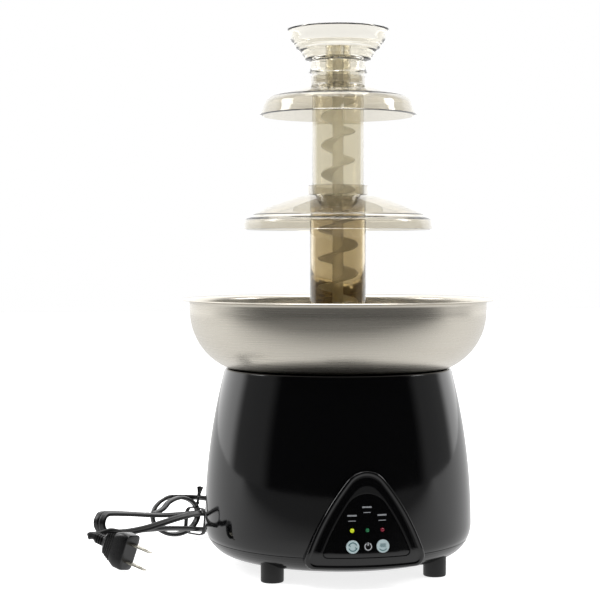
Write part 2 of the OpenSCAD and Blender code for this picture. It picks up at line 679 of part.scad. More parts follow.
// Auger: two lengths of right-handed flight on a round core
flight_rings = 20;
cap_r = 5.4;
function flight_section(r) = let (half = 180 * flight_t / auger_pitch)
    concat([[auger_core_r / 2, 0]], [for (i = [-2:2]) let (a = half * i / 2) [r * cos(a), r * sin(a)]]);
module flight(r, h) linear_extrude(h, twist = -360 * h / auger_pitch,
    slices = ceil(h / auger_pitch * flight_rings), $fn = 8) polygon(flight_section(r));
auger_low_h = auger_step_z - auger_low_z - hex_h / 2;
module auger() color("#9b8f72", 0.6) difference() {
    union() {
        translate([0, 0, auger_low_z]) cylinder(r = auger_core_r, h = auger_top_z - cap_r - auger_low_z);
        translate([0, 0, auger_low_z + hex_h / 2]) flight(auger_low_r, auger_low_h);
        translate([0, 0, auger_step_z]) rotate([0, 0, 360 * auger_low_h / auger_pitch])
            flight(auger_high_r, auger_flight_top_z - auger_step_z);
        rotate_extrude() polygon(concat([[0, auger_top_z - cap_r - cap_r / 2],
            [auger_core_r, auger_top_z - cap_r - cap_r / 2], [cap_r, auger_top_z - cap_r]],
            oval(0, auger_top_z - cap_r, cap_r, cap_r, 10, 90, 6)));
    }
    translate([0, 0, auger_low_z - overrun]) cylinder(r = shaft_r + run_gap, h = 2 * overrun + touch_gap);
    translate([0, 0, auger_low_z]) cylinder(r = hex_r + touch_gap, h = hex_h + 2 * overrun, $fn = 6);
}

// Tower of clear pieces, each standing on the one below
inlet_angles = [30, 150, 270];
lower_top_z = large_joint_z - tier_wall - touch_gap;
module lower_tube() color("#8d8262", 0.6) difference() {
    union() {
        translate([0, 0, tube_foot_z]) cylinder(r = lower_tube_r, h = lower_top_z - tube_foot_z);
        translate([0, 0, tube_foot_z]) cylinder(r = foot_flange_r, h = foot_flange_t);
    }
    translate([0, 0, tube_foot_z - overrun])
        cylinder(r = lower_tube_r - tube_wall, h = lower_top_z);
    around(post_angles, post_ring_r) translate([0, 0, tube_foot_z - overrun])
        cylinder(r = post_head_r + slide_gap, h = foot_flange_t + 2 * overrun);
    for (a = inlet_angles) rotate([0, 0, a]) translate([0, 0, tube_foot_z]) {
        translate([0, -inlet_w / 2, -overrun])
            cube([foot_flange_r + overrun, inlet_w, inlet_h - inlet_w / 2 + overrun]);
        translate([0, 0, inlet_h - inlet_w / 2]) rotate([0, 90, 0])
            cylinder(r = inlet_w / 2, h = foot_flange_r);
    }
}
large_r_shares = [0.195, 0.48, 0.696, 0.85, 0.889, 0.983, 1];
large_z_shares = [0.032, 0.208, 0.38, 0.552, 0.62, 0.728, 1];
small_r_shares = [0.2, 0.4, 0.587, 0.755, 0.84, 0.91, 0.951, 1];
small_z_shares = [0.005, 0.11, 0.215, 0.325, 0.4, 0.54, 0.76, 1];
function dome(r0, z0, r1, drop, rs, zs) = concat([[r0, z0]],
    [for (i = [0:len(rs) - 1]) [r0 + (r1 - r0) * rs[i], z0 - drop * zs[i]]]);
sleeve_r = lower_tube_r - tube_wall - touch_gap;
sleeve_wall = 0.8 * tier_wall;
large_line = dome(large_collar_r, large_joint_z, large_tier_r, large_tier_drop,
    large_r_shares, large_z_shares);
module large_tier() color("#cfc4a6", 0.5) rotate_extrude() polygon(concat(
    [[upper_tube_r + touch_gap, large_joint_z], [upper_tube_r + touch_gap, large_joint_z + collar_h],
     [large_collar_r, large_joint_z + collar_h]], large_line, flip(offset_line(large_line, -tier_wall)),
    [[sleeve_r, large_joint_z - tier_wall], [sleeve_r, large_joint_z - joint_sleeve_h],
     [sleeve_r - sleeve_wall, large_joint_z - joint_sleeve_h],
     [sleeve_r - sleeve_wall, large_joint_z]]));
module neck_slots() for (a = [slot_turn, slot_turn + 180]) rotate([0, 0, a]) {
    translate([0, -slot_w / 2, neck_top_z - slot_drop]) cube([2 * neck_tube_r, slot_w, slot_drop + overrun]);
    rotate([0, 0, slot_hook_turn]) translate([0, -slot_w, neck_top_z - slot_drop])
        cube([2 * neck_tube_r, 2 * slot_w, slot_w]);
}
cap_t = 2;
module upper_tube() color("#b8ab88", 0.6) difference() {
    rotate_extrude() polygon([
        [upper_tube_r - tube_wall, large_joint_z + touch_gap], [upper_tube_r, large_joint_z + touch_gap],
        [upper_tube_r, small_joint_z], [neck_tube_r, small_joint_z], [neck_tube_r, neck_top_z],
        [neck_tube_r - neck_tube_wall, neck_top_z], [neck_tube_r - neck_tube_wall, small_joint_z - cap_t],
        [upper_tube_r - tube_wall, small_joint_z - cap_t]]);
    neck_slots();
}
small_line = dome(small_collar_r, small_joint_z + touch_gap, small_tier_r, small_tier_drop,
    small_r_shares, small_z_shares);
module small_tier() color("#d8cfb4", 0.5) rotate_extrude() polygon(concat(
    [[neck_tube_r + touch_gap, small_joint_z + touch_gap], [neck_tube_r + touch_gap, small_joint_z + cap_t],
     [small_collar_r - tier_wall, small_joint_z + cap_t],
     [small_collar_r - tier_wall, small_joint_z + small_collar_h],
     [small_collar_r, small_joint_z + small_collar_h]], small_line, flip(offset_line(small_line, -tier_wall)),
    [[upper_tube_r + touch_gap, small_joint_z - tier_wall],
     [upper_tube_r + touch_gap, small_joint_z + touch_gap]]));
cup_r_shares = [0, 0.106, 0.156, 0.234, 0.284, 0.362, 0.511, 0.589, 0.638, 0.794, 0.872, 1];
cup_z_shares = [0, 0.067, 0.129, 0.196, 0.259, 0.326, 0.388, 0.451, 0.518, 0.647, 0.839, 1];
cup_step = 2.5;
cup_low_r = stem_r + cup_step;
cup_line = [for (i = [0:len(cup_r_shares) - 1]) [cup_low_r + (crown_r - cup_low_r) * cup_r_shares[i],
    stem_high_z + (crown_z - stem_high_z) * cup_z_shares[i]]];
crown_seat_z = small_joint_z + small_collar_h + touch_gap;
spigot_r = small_collar_r - tier_wall - touch_gap;
stem_flare = 0.7;
module crown() color("#ded6bd", 0.5) rotate_extrude() polygon(concat(
    [[spigot_r - tier_wall, crown_seat_z - joint_sleeve_h / 2], [spigot_r, crown_seat_z - joint_sleeve_h / 2],
     [spigot_r, crown_seat_z], [small_collar_r - stem_flare, crown_seat_z],
     [small_collar_r - stem_flare, stem_low_z],
     [stem_r + stem_flare, stem_low_z], [stem_r, stem_low_z + tier_wall], [stem_r, stem_high_z]],
    cup_line, [for (p = flip(cup_line)) if (p.y > stem_high_z + tier_wall) [p.x - tier_wall, p.y]],
    [[cup_low_r - tier_wall / 2, stem_high_z + tier_wall], [neck_tube_r + touch_gap, stem_high_z + tier_wall],
     [neck_tube_r + touch_gap, stem_high_z], [spigot_r - tier_wall, stem_high_z]]));

// Mains lead: a flat twin lead leaves the back, makes one slack loop, is wound in a hank whose
// loops are drawn in at the waist, and ends in a two-blade plug
relief_len = 26;
relief_y = belly(exit_z) - wall;
hank_left = [-169, 43, 26];
hank_right = [-66, 131, 10];
hank_turn_r = 7;
hank_step = lead_w + 0.5;
hank_waist = 2;
hank_from = 0.1496;
hank_to = 2.043;
hank_rings = 24;
slack_centre = [26, -17, 2.5];
slack_half = [24, 14.5];
slack_shift = 6;
lead_points = [[0, 130, 30], [-3, 140, 27], [-12, 150, 18], [-26, 156, 9], [-42, 157, 4],
    [-56, 152, 5], [-66, 144, 12], [-73, 136, 21], [-80, 129, 28]];
tail_near = [[26, 7.5, 6.5], [12, 9.5, 5], [0, 10, 3], [-14, 10, 0], [-28, 10, -3], [-42, 10, -5],
    [-56, 10.5, -6], [-66, 10, -5]];
tail_points = [[-170, 30, 20], [-176, 22, 21], [-178, 15, 22]];
plug_face = [-151, -12, 14];
plug_turn = [-10, 14, -45];
plug_w = 15;
plug_h = 25.8;
plug_len = 22;
plug_round = 3;
plug_back_w = 9;
plug_back_h = 15;
plug_tail = 10;
blade_w = 6.35;
blade_t = 1.5;

hank_mid = (hank_left + hank_right) / 2;
hank_s = unit2(hank_right - hank_left);
hank_n = unit2([hank_s.y, -hank_s.x, 0]);
hank_v = cross(hank_n, hank_s) * (cross(hank_n, hank_s).z > 0 ? 1 : -1);
hank_run = norm(hank_right - hank_left) / 2 - hank_turn_r;
function at_hank(p) = hank_mid + p[0] * hank_s + p[1] * hank_n + p[2] * hank_v;
function drawn(s) = hank_turn_r - hank_waist * pow(cos(90 * s / hank_run), 2);
// A point of the hank after t turns: a run, an end, a run back and the other end
function hank_point(t) =
    let (q = (t - floor(t)) * 4, k = floor(q), f = q - k, n = hank_step * (t - 1),
         s = k == 0 ? hank_run * (1 - 2 * f) : hank_run * (2 * f - 1))
    k == 0 ? [s, n, drawn(s)]
    : k == 2 ? [s, n, -drawn(s)]
    : k == 1 ? [-hank_run + hank_turn_r * cos(90 + 180 * f), n, hank_turn_r * sin(90 + 180 * f)]
    : [hank_run + hank_turn_r * cos(270 + 180 * f), n, hank_turn_r * sin(270 + 180 * f)];
hank_count = round((hank_to - hank_from) * hank_rings);
hank_route = [for (i = [0:hank_count])
    at_hank(hank_point(hank_from + (hank_to - hank_from) * i / hank_count))];
slack_route = [for (i = [0:12]) let (a = 90 + 30 * i) at_hank(slack_centre
    + [slack_half[0] * cos(a), slack_shift * i / 12, slack_half[1] * sin(a)])];
lead_start = [0, relief_y + relief_len, exit_z];
lead_route = concat([lead_start], lead_points, slack_route,
    [at_hank([12, -8.5, 14]), at_hank([2, -6, 8.5]), hank_route[0]]);
// Turns a point of the plug as rotate() turns the plug
function turned(p) = let (a = plug_turn,
    q = [p.x, p.y * cos(a.x) - p.z * sin(a.x), p.y * sin(a.x) + p.z * cos(a.x)],
    r = [q.x * cos(a.y) + q.z * sin(a.y), q.y, -q.x * sin(a.y) + q.z * cos(a.y)])
    plug_face + [r.x * cos(a.z) - r.y * sin(a.z), r.x * sin(a.z) + r.y * cos(a.z), r.z];
tail_straight = 4;
tail_end = turned([-plug_len - plug_tail, 0, 0]);
tail_route = concat([hank_route[hank_count]], [for (p = tail_near) at_hank(p)],
    tail_points, [turned([-plug_len - plug_tail - tail_straight, 0, 0]), tail_end]);

// Flat tube along points, its width kept square to the bends
function heading(p, i) = unit2(p[min(i + 1, len(p) - 1)] - p[max(i - 1, 0)]);
function square_to(n, t) = unit2(n - (n * t) * t);
function widths(p, n0) = [for (i = 0, n = square_to(n0, heading(p, 0)); i < len(p);
    i = i + 1, n = i < len(p) ? square_to(n, heading(p, i)) : n) n];
module flat_tube(p, n0, sides) {
    w = widths(p, n0);
    last = len(p) - 1;
    points = [for (i = [0:last], k = [0:sides - 1])
        let (a = 360 * (k + 0.5) / sides, u = cross(heading(p, i), w[i]))
        p[i] + w[i] * lead_w / 2 * cos(a) + u * lead_t / 2 * sin(a)];
    faces = concat(
        [for (i = [0:last - 1], k = [0:sides - 1]) let (m = (k + 1) % sides)
            [i * sides + k, (i + 1) * sides + k, i * sides + m]],
        [for (i = [0:last - 1], k = [0:sides - 1]) let (m = (k + 1) % sides)
            [i * sides + m, (i + 1) * sides + k, (i + 1) * sides + m]],
        [for (k = [1:sides - 2]) [0, k, k + 1]],
        [for (k = [1:sides - 2]) [last * sides, last * sides + k + 1, last * sides + k]]);
    polyhedron(points, faces);
}
function route_len(p) = len(p) < 2 ? 0 : [for (i = 1, s = norm(p[1] - p[0]); i < len(p);
    i = i + 1, s = i < len(p) ? s + norm(p[i] - p[i - 1]) : s) s][len(p) - 2];
hank_gap = min([for (i = [0:hank_count], j = [i + 8:1:hank_count])
    norm(hank_route[i] - hank_route[j])]) - lead_w;
echo(hank_least_gap = hank_gap, lead_length = route_len(lead_route),
    hank_length = route_len(hank_route), tail_length = route_len(tail_route));
relief_r = exit_r - touch_gap;
relief_tip_share = 0.72;
relief_lip = 0.9;
module strain_relief() color("#161618") translate([0, relief_y, exit_z]) rotate([-90, 0, 0])
    difference() {
        union() {
            translate([0, 0, -cover_wall]) cylinder(r = relief_r, h = wall + 2 * cover_wall);
            translate([0, 0, -2 * cover_wall]) cylinder(r = relief_r + relief_lip, h = cover_wall);
            translate([0, 0, wall + cover_wall])
                cylinder(r1 = relief_r, r2 = relief_r * relief_tip_share, h = relief_len - wall - cover_wall);
        }
        for (k = [1:4]) translate([0, 0, wall + k * cover_wall * 2])
            ring(2 * relief_r, relief_r * relief_tip_share, cover_wall / 2);
    }
module cord_lead() color("#151517") flat_tube(lead_route, [1, 0, 0], 8);
module cord_hank() color("#151517") flat_tube(hank_route, hank_n, 6);
module cord_tail() color("#151517") flat_tube(tail_route, hank_n, 8);
tie_s = 34;
tie_n = 0.6;
tie_room = 1.2;
tie_half = [hank_step + lead_w / 2 + tie_room, hank_turn_r + lead_t];
tie_t = 0.8;
tie_w = 3.6;
tie_end = 17;
tie_lean = 12;
hank_yaw = atan2(hank_s.y, hank_s.x);
hank_dip = -asin(hank_s.z);
module cord_tie() color("#141414") translate(at_hank([tie_s, tie_n, 0])) rotate([0, hank_dip, hank_yaw])
    rotate([90, 0, 90]) {
        translate([0, 0, -tie_w / 2]) linear_extrude(tie_w) difference() {
            square(2 * [tie_half[0] + tie_t, tie_half[1] + tie_t], center = true);
            square(2 * tie_half, center = true);
        }
        for (side = [-1, 1]) translate([0, tie_half[1] + tie_t / 2, side * tie_w / 4])
            rotate([0, 0, side * tie_lean])
                translate([-tie_t / 2, 0, -tie_w / 5]) cube([tie_t, tie_end, tie_w * 2 / 5]);
    }
module plug_block(x, w, h) translate([x - touch_gap, 0, 0]) rotate([0, 90, 0]) linear_extrude(touch_gap)
    offset(plug_round) square([h - 2 * plug_round, w - 2 * plug_round], center = true);
module plug_body() color("#1a1a1c") translate(plug_face) rotate(plug_turn) {
    hull() {
        plug_block(0, plug_w, plug_h);
        plug_block(-plug_len / 2, plug_w, plug_h - plug_round);
        plug_block(-plug_len + touch_gap, plug_back_w, plug_back_h);
    }
    translate([-plug_len - plug_tail, -lead_t, -lead_w / 2 - 1])
        cube([plug_tail + plug_round, 2 * lead_t, lead_w + 2]);
}
module plug_blades() color("#c8c4b4") translate(plug_face) rotate(plug_turn)
    for (z = [-blade_gap / 2, blade_gap / 2]) translate([touch_gap, -blade_w / 2, z - blade_t / 2])
        cube([blade_len - touch_gap, blade_w, blade_t]);

base_housing();
control_hood();
fascia();
control_board();
tact_switches();
indicator_lamps();
mix_button();
power_button();
heat_button();
bottom_cover();
cover_screws();
feet();
bowl();
shaft_seal();
tower_posts();
post_spacers();
post_nuts();
bowl_studs();
stud_nuts();
heater_plate();
heating_element();
thermostat();
thermal_fuse();
gearbox_plate();
gearbox_case();
idler_pin();
motor();
output_shaft();
output_gear();
idler_gear();
motor_shaft();
motor_pinion();
auger();
lower_tube();
large_tier();
upper_tube();
small_tier();
crown();
strain_relief();
cord_lead();
cord_hank();
cord_tail();
cord_tie();
plug_body();
plug_blades();
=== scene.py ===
import math

import bmesh
import bpy
from mathutils import Matrix, Vector


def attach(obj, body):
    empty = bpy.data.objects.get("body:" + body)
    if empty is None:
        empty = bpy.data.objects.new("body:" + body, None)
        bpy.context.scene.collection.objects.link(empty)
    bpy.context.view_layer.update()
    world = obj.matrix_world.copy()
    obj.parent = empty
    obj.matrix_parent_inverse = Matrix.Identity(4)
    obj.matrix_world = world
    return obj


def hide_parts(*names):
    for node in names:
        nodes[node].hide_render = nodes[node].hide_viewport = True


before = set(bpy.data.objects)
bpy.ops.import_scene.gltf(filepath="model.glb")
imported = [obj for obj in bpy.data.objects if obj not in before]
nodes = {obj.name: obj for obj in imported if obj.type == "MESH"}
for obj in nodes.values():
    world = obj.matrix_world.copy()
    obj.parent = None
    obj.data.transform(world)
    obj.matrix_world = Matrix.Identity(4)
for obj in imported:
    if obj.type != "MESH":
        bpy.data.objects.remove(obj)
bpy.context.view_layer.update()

scene = bpy.context.scene
MM = 0.001
SPIN_WELD, GRID_WELD = 1e-6, 1e-7  # points that lie closer are made one, in metres
BUMP_DEPTH = 0.0001  # the height that a bump of strength 1 stands for, in metres
PATCH_SCALE = 28  # soft patches of wear, some 36 mm across
NOISE_LOW, NOISE_HIGH = 0.3, 0.7  # most of a noise texture's values lie between these

# Camera: a long lens, low in front of the object and a little to its left

lens_mm, film_mm = 93, 36
looks_down, looks_right = 1.85, 10.1  # degrees
scene.view_settings.view_transform = "Standard"
camera_data = bpy.data.cameras.new("camera")
camera_data.lens = lens_mm
camera_data.sensor_width = film_mm
camera = bpy.data.objects.new("camera", camera_data)
camera.location = (-0.2229, -1.0956, 0.2262)
camera.rotation_euler = (math.radians(90 - looks_down), 0, math.radians(-looks_right))
scene.collection.objects.link(camera)
scene.camera = camera


# Modelling tools

def fresh():
    """Nothing is selected and no piece is in edit mode."""
    if bpy.context.object and bpy.context.object.mode != "OBJECT":
        bpy.ops.object.mode_set(mode="OBJECT")
    bpy.ops.object.select_all(action="DESELECT")


def begin(name):
    """The primitive that was just added becomes a named piece with its place in its mesh."""
    obj = bpy.context.object
    obj.name = name
    obj.data.name = name
    bpy.ops.object.transform_apply(location=True, rotation=True, scale=True)
    return obj


def smooth(obj, angle=35):
    """Rounded faces shade smoothly and true edges stay crisp."""
    fresh()
    obj.select_set(True)
    bpy.context.view_layer.objects.active = obj
    bpy.ops.object.shade_smooth_by_angle(angle=math.radians(angle))


def edit(obj):
    fresh()
    obj.select_set(True)
    bpy.context.view_layer.objects.active = obj
    bpy.ops.object.mode_set(mode="EDIT")


def apply_modifier(obj, kind, **settings):
    fresh()
    obj.select_set(True)
    bpy.context.view_layer.objects.active = obj
    m = obj.modifiers.new(kind.lower(), kind)
    for key, value in settings.items():
        setattr(m, key, value)
    bpy.ops.object.modifier_apply(modifier=m.name)


def cut(obj, *cutters):
    """Takes the cutters out of a piece and throws them away."""
    for cutter in cutters:
        apply_modifier(obj, "BOOLEAN", operation="DIFFERENCE", solver="EXACT", object=cutter)
        bpy.data.objects.remove(cutter, do_unlink=True)


def join(name, *pieces):
    fresh()
    for piece in pieces:
        piece.select_set(True)
    bpy.context.view_layer.objects.active = pieces[0]
    bpy.ops.object.join()
    pieces[0].name = name
    return pieces[0]


def rounded(points, closed=True, steps=4):
    """A profile whose corners (radius, height, fillet) are rounded by their fillet, in millimetres."""
    line = []
    n = len(points)
    for i, p in enumerate(points):
        here = Vector(p[:2])
        fillet = p[2] if len(p) > 2 else 0
        if not fillet or (not closed and i in (0, n - 1)):
            line.append(tuple(here))
            continue
        back = Vector(points[i - 1][:2]) - here
        on = Vector(points[(i + 1) % n][:2]) - here
        half = back.angle(on) / 2
        reach = min(fillet / math.tan(half), 0.49 * back.length, 0.49 * on.length)
        start, end = here + back.normalized() * reach, here + on.normalized() * reach
        for k in range(steps + 1):
            t = k / steps
            line.append(tuple((1 - t) ** 2 * start + 2 * t * (1 - t) * here + t * t * end))
    return line


def turned(name, profile, closed=True, steps=144, centre=(0, 0)):
    """Lathe work: the profile of (radius, height) in millimetres is drawn point by point and spun."""
    fresh()
    cx, cy = centre
    start_r, start_z = profile[0][:2]
    bpy.ops.mesh.primitive_plane_add(size=MM, location=((cx + start_r) * MM, cy * MM, start_z * MM))
    obj = begin(name)
    bpy.ops.object.mode_set(mode="EDIT")
    bpy.ops.mesh.select_all(action="SELECT")
    bpy.ops.mesh.merge(type="CENTER")
    for a, b in zip(profile, profile[1:]):
        move = ((b[0] - a[0]) * MM, 0, (b[1] - a[1]) * MM)
        bpy.ops.mesh.extrude_vertices_move(TRANSFORM_OT_translate={"value": move})
    if closed:
        mesh = bmesh.from_edit_mesh(obj.data)
        mesh.verts.ensure_lookup_table()
        mesh.select_mode = {"VERT"}
        for v in mesh.verts:
            v.select_set(v.index in (0, len(mesh.verts) - 1))
        mesh.select_flush_mode()
        bmesh.update_edit_mesh(obj.data)
        bpy.ops.mesh.edge_face_add()
    bpy.ops.mesh.select_all(action="SELECT")
    bpy.ops.mesh.spin(steps=steps, angle=2 * math.pi, center=(cx * MM, cy * MM, 0), axis=(0, 0, 1))
    bpy.ops.mesh.select_all(action="SELECT")
    bpy.ops.mesh.remove_doubles(threshold=SPIN_WELD)
    bpy.ops.mesh.normals_make_consistent(inside=False)
    bpy.ops.object.mode_set(mode="OBJECT")
    smooth(obj)
    return obj


def wrapped(name, rings, loop=True, caps=True, angle=35):
    """Sheet work: a grid is laid over rings of points in metres, joined along its seam and capped."""
    fresh()
    columns = len(rings[0]) - (0 if loop else 1)
    rows = len(rings) - 1
    bpy.ops.mesh.primitive_grid_add(x_subdivisions=columns, y_subdivisions=rows, size=2)
    obj = begin(name)
    for v in obj.data.vertices:
        i = round((v.co.y + 1) / 2 * rows)
        k = round((v.co.x + 1) / 2 * columns)
        v.co = rings[i][k % len(rings[0])]
    edit(obj)
    bpy.ops.mesh.select_all(action="SELECT")
    bpy.ops.mesh.remove_doubles(threshold=GRID_WELD)
    if caps:
        bpy.ops.mesh.select_all(action="SELECT")
        bpy.ops.mesh.fill_holes(sides=0)
    bpy.ops.mesh.select_all(action="SELECT")
    bpy.ops.mesh.normals_make_consistent(inside=False)
    bpy.ops.object.mode_set(mode="OBJECT")
    smooth(obj, angle)
    return obj


def block(name, size, centre, bevel=0, segments=3):
    """A box with bevelled edges, sizes in millimetres."""
    fresh()
    bpy.ops.mesh.primitive_cube_add(size=1, location=[c * MM for c in centre],
                                    scale=[s * MM for s in size])
    obj = begin(name)
    if bevel:
        apply_modifier(obj, "BEVEL", width=bevel * MM, segments=segments, limit_method="ANGLE")
    smooth(obj)
    return obj


def rod(name, radius, low, high, centre=(0, 0), sides=48, bevel=0):
    """A round bar along Z between two heights, in millimetres."""
    fresh()
    bpy.ops.mesh.primitive_cylinder_add(vertices=sides, radius=radius * MM, depth=(high - low) * MM,
                                        location=(centre[0] * MM, centre[1] * MM, (low + high) / 2 * MM))
    obj = begin(name)
    if bevel:
        apply_modifier(obj, "BEVEL", width=bevel * MM, segments=3, limit_method="ANGLE")
    smooth(obj)
    return obj


def placed(obj, matrix):
    """Moves a piece's mesh, so that its object stays at the origin."""
    obj.data.transform(matrix)
    obj.data.update()
    return obj


def copied(obj, name, matrix):
    """A copy with its own mesh, moved by a matrix."""
    other = obj.copy()
    other.data = obj.data.copy()
    other.name = name
    scene.collection.objects.link(other)
    return placed(other, matrix)


# Tools for materials

def colour(code):
    """An sRGB hex value as the linear colour that Blender wants."""
    parts = [int(code[i:i + 2], 16) / 255 for i in (0, 2, 4)]
    return tuple(p / 12.92 if p <= 0.04045 else ((p + 0.055) / 1.055) ** 2.4 for p in parts) + (1,)


def node(material, kind, sockets=None, **settings):
    """Adds one node, with its settings, and its sockets set to values or linked from other outputs."""
    made = material.node_tree.nodes.new(kind)
    for key, value in settings.items():
        setattr(made, key, value)
    for key, value in (sockets or {}).items():
        if isinstance(value, bpy.types.NodeSocket):
            material.node_tree.links.new(value, made.inputs[key])
        else:
            made.inputs[key].default_value = value
    return made


def blank(name, **surface):
    """A material with only its surface shader, which is returned with it."""
    material = bpy.data.materials.new(name)
    material.use_nodes = True
    shader = material.node_tree.nodes["Principled BSDF"]
    for key, value in surface.items():
        shader.inputs[key.replace("_", " ")].default_value = value
    return material, shader


def feed(material, shader, socket, output):
    material.node_tree.links.new(output, shader.inputs[socket])


def from_to(low, high, least, most):
    """Values from low to high become values from least to most: the sockets of a Map Range node."""
    return {1: low, 2: high, 3: least, 4: most}


def wear(name, tint, rough, spread, grain_mm, bump, base=None, **surface):
    """A surface whose roughness varies in soft patches and whose face carries a fine grain."""
    material, shader = blank(name, Base_Color=colour(tint), Roughness=rough, **surface)
    place = node(material, "ShaderNodeTexCoord").outputs["Object"]
    patches = node(material, "ShaderNodeTexNoise", {"Vector": place, "Scale": PATCH_SCALE, "Detail": 4})
    gloss = node(material, "ShaderNodeMapRange",
                 {0: patches.outputs["Fac"], **from_to(NOISE_LOW, NOISE_HIGH, rough - spread, rough + spread)})
    feed(material, shader, "Roughness", gloss.outputs[0])
    grain = node(material, "ShaderNodeTexNoise", {"Vector": place, "Scale": 1 / (grain_mm * MM), "Detail": 3})
    height = node(material, "ShaderNodeBump",
                  {"Height": grain.outputs["Fac"], "Strength": bump, "Distance": BUMP_DEPTH})
    feed(material, shader, "Normal", height.outputs["Normal"])
    if base:
        tone = node(material, "ShaderNodeMix",
                    {"Factor": patches.outputs["Fac"], 6: colour(tint), 7: colour(base)}, data_type="RGBA")
        feed(material, shader, "Base Color", tone.outputs[2])
    return material


# Mains lead: the same route as in the part's source, in metres

def unit(v):
    return Vector(v).normalized()


hank_left, hank_right = Vector((-0.169, 0.043, 0.026)), Vector((-0.066, 0.131, 0.010))
hank_turn, hank_step, hank_waist = 0.007, 0.0059, 0.002
hank_mid = (hank_left + hank_right) / 2
hank_s = unit(hank_right - hank_left)
hank_n = unit((hank_s.y, -hank_s.x, 0))
hank_v = hank_n.cross(hank_s)
hank_v = hank_v if hank_v.z > 0 else -hank_v
hank_run = (hank_right - hank_left).length / 2 - hank_turn


def at_hank(s, n, v):
    """A place by the hank in millimetres: along it, across it and upwards."""
    return hank_mid + s * MM * hank_s + n * MM * hank_n + v * MM * hank_v


def hank_point(t):
    """A point of the hank after t turns: a run, an end, a run back and the other end."""
    q = (t - math.floor(t)) * 4
    k, f = math.floor(q), q - math.floor(q)
    n = hank_step * (t - 1)
    if k in (0, 2):
        s = hank_run * (1 - 2 * f) if k == 0 else hank_run * (2 * f - 1)
        v = (hank_turn - hank_waist * math.cos(math.pi / 2 * s / hank_run) ** 2) * (1 if k == 0 else -1)
    else:
        turn = math.radians((90 if k == 1 else 270) + 180 * f)
        s = (-hank_run if k == 1 else hank_run) + hank_turn * math.cos(turn)
        v = hank_turn * math.sin(turn)
    return hank_mid + s * hank_s + n * hank_n + v * hank_v


plug_place = (Matrix.Translation((-0.151, -0.012, 0.014)) @ Matrix.Rotation(math.radians(-45), 4, "Z")
              @ Matrix.Rotation(math.radians(14), 4, "Y") @ Matrix.Rotation(math.radians(-10), 4, "X"))
relief_y, relief_len, relief_seat, exit_z = 0.0934, 0.026, 0.0026, 0.0306
# From the sleeve down to the floor and up to the hank, in millimetres
lead_points = [(0, 130, 30), (-3, 140, 27), (-12, 150, 18), (-26, 156, 9), (-42, 157, 4), (-56, 152, 5),
               (-66, 144, 12), (-73, 136, 21), (-80, 129, 28)]
# One loose loop at the hank's right end: its middle, its half length and height, and how far it drifts
slack_s, slack_n, slack_v = 26, -17, 2.5
slack_long, slack_high, slack_drift, slack_count = 24, 14.5, 6, 12
slack_turns = [math.radians(90 + 360 * i / slack_count) for i in range(slack_count + 1)]
slack_points = [at_hank(slack_s + slack_long * math.cos(a), slack_n + slack_drift * i / slack_count,
                        slack_v + slack_high * math.sin(a)) for i, a in enumerate(slack_turns)]
hank_from, hank_to, hank_count = 0.1496, 2.043, 45  # first turn, last turn and steps
lead_route = ([Vector((0, relief_y + relief_len, exit_z))] + [Vector(p) * MM for p in lead_points]
              + slack_points + [at_hank(12, -8.5, 14), at_hank(2, -6, 8.5)])
hank_route = [hank_point(hank_from + (hank_to - hank_from) * i / hank_count)
              for i in range(hank_count + 1)]
# Back along the hank's front and round to the plug
tail_near = [(26, 7.5, 6.5), (12, 9.5, 5), (0, 10, 3), (-14, 10, 0), (-28, 10, -3), (-42, 10, -5),
             (-56, 10.5, -6), (-66, 10, -5)]
tail_far = [(-170, 30, 20), (-176, 22, 21), (-178, 15, 22)]
tail_route = ([at_hank(*p) for p in tail_near] + [Vector(p) * MM for p in tail_far]
              + [plug_place @ Vector((x, 0, 0)) for x in (-0.036, -0.030)])


def flowing(points, parts):
    """A smooth line through all the points, with some more between each two."""
    line = []
    for i in range(len(points) - 1):
        p0, p1 = points[max(i - 1, 0)], points[i]
        p2, p3 = points[i + 1], points[min(i + 2, len(points) - 1)]
        for k in range(parts):
            t = k / parts
            line.append(0.5 * (2 * p1 + (p2 - p0) * t + (2 * p0 - 5 * p1 + 4 * p2 - p3) * t * t
                               + (3 * p1 - p0 - 3 * p2 + p3) * t ** 3))
    return line + [points[-1]]


lead_parts = 4
lead_line = flowing(lead_route + hank_route + tail_route, lead_parts)
hank_begin = len(lead_route) * lead_parts
hank_end = (len(lead_route) + len(hank_route) - 1) * lead_parts


def headings(line):
    """The direction of a line at each of its points."""
    last = len(line) - 1
    return [(line[min(i + 1, last)] - line[max(i - 1, 0)]).normalized() for i in range(last + 1)]


def carried(ways, first, step=1):
    """The direction of the lead's width, carried along without twisting."""
    out, n = [], first
    for way in (ways if step > 0 else ways[::-1]):
        n = (n - n.dot(way) * way).normalized()
        out.append(n)
    return out if step > 0 else out[::-1]


def lead_widths(line):
    """Flat in the hank, level where the lead leaves the base, and in the plug's plane at the plug."""
    ways = headings(line)
    middle = carried(ways[hank_begin:hank_end], hank_n)
    out = [None] * len(line)
    out[hank_begin:hank_end] = middle
    for low, high, own, fixed, at_start in ((0, hank_begin, Vector((1, 0, 0)), middle[0], True),
                                            (hank_end, len(line), plug_place.to_3x3() @ Vector((0, 0, 1)),
                                             middle[-1], False)):
        part = ways[low:high]
        a = carried(part, own if at_start else fixed)
        b = carried(part, fixed if at_start else own, -1)
        for i, (p, q, way) in enumerate(zip(a, b, part)):
            share = i / (len(part) - 1)
            share = share * share * (3 - 2 * share)
            angle = math.atan2(p.cross(q).dot(way), p.dot(q))
            angle = (angle + math.pi / 2) % math.pi - math.pi / 2
            out[low + i] = Matrix.Rotation(angle * share, 3, way) @ p
    return ways, out


core_half_w, core_half_t, groove_share, groove_w = 2.7, 1.7, 0.3, 0.8


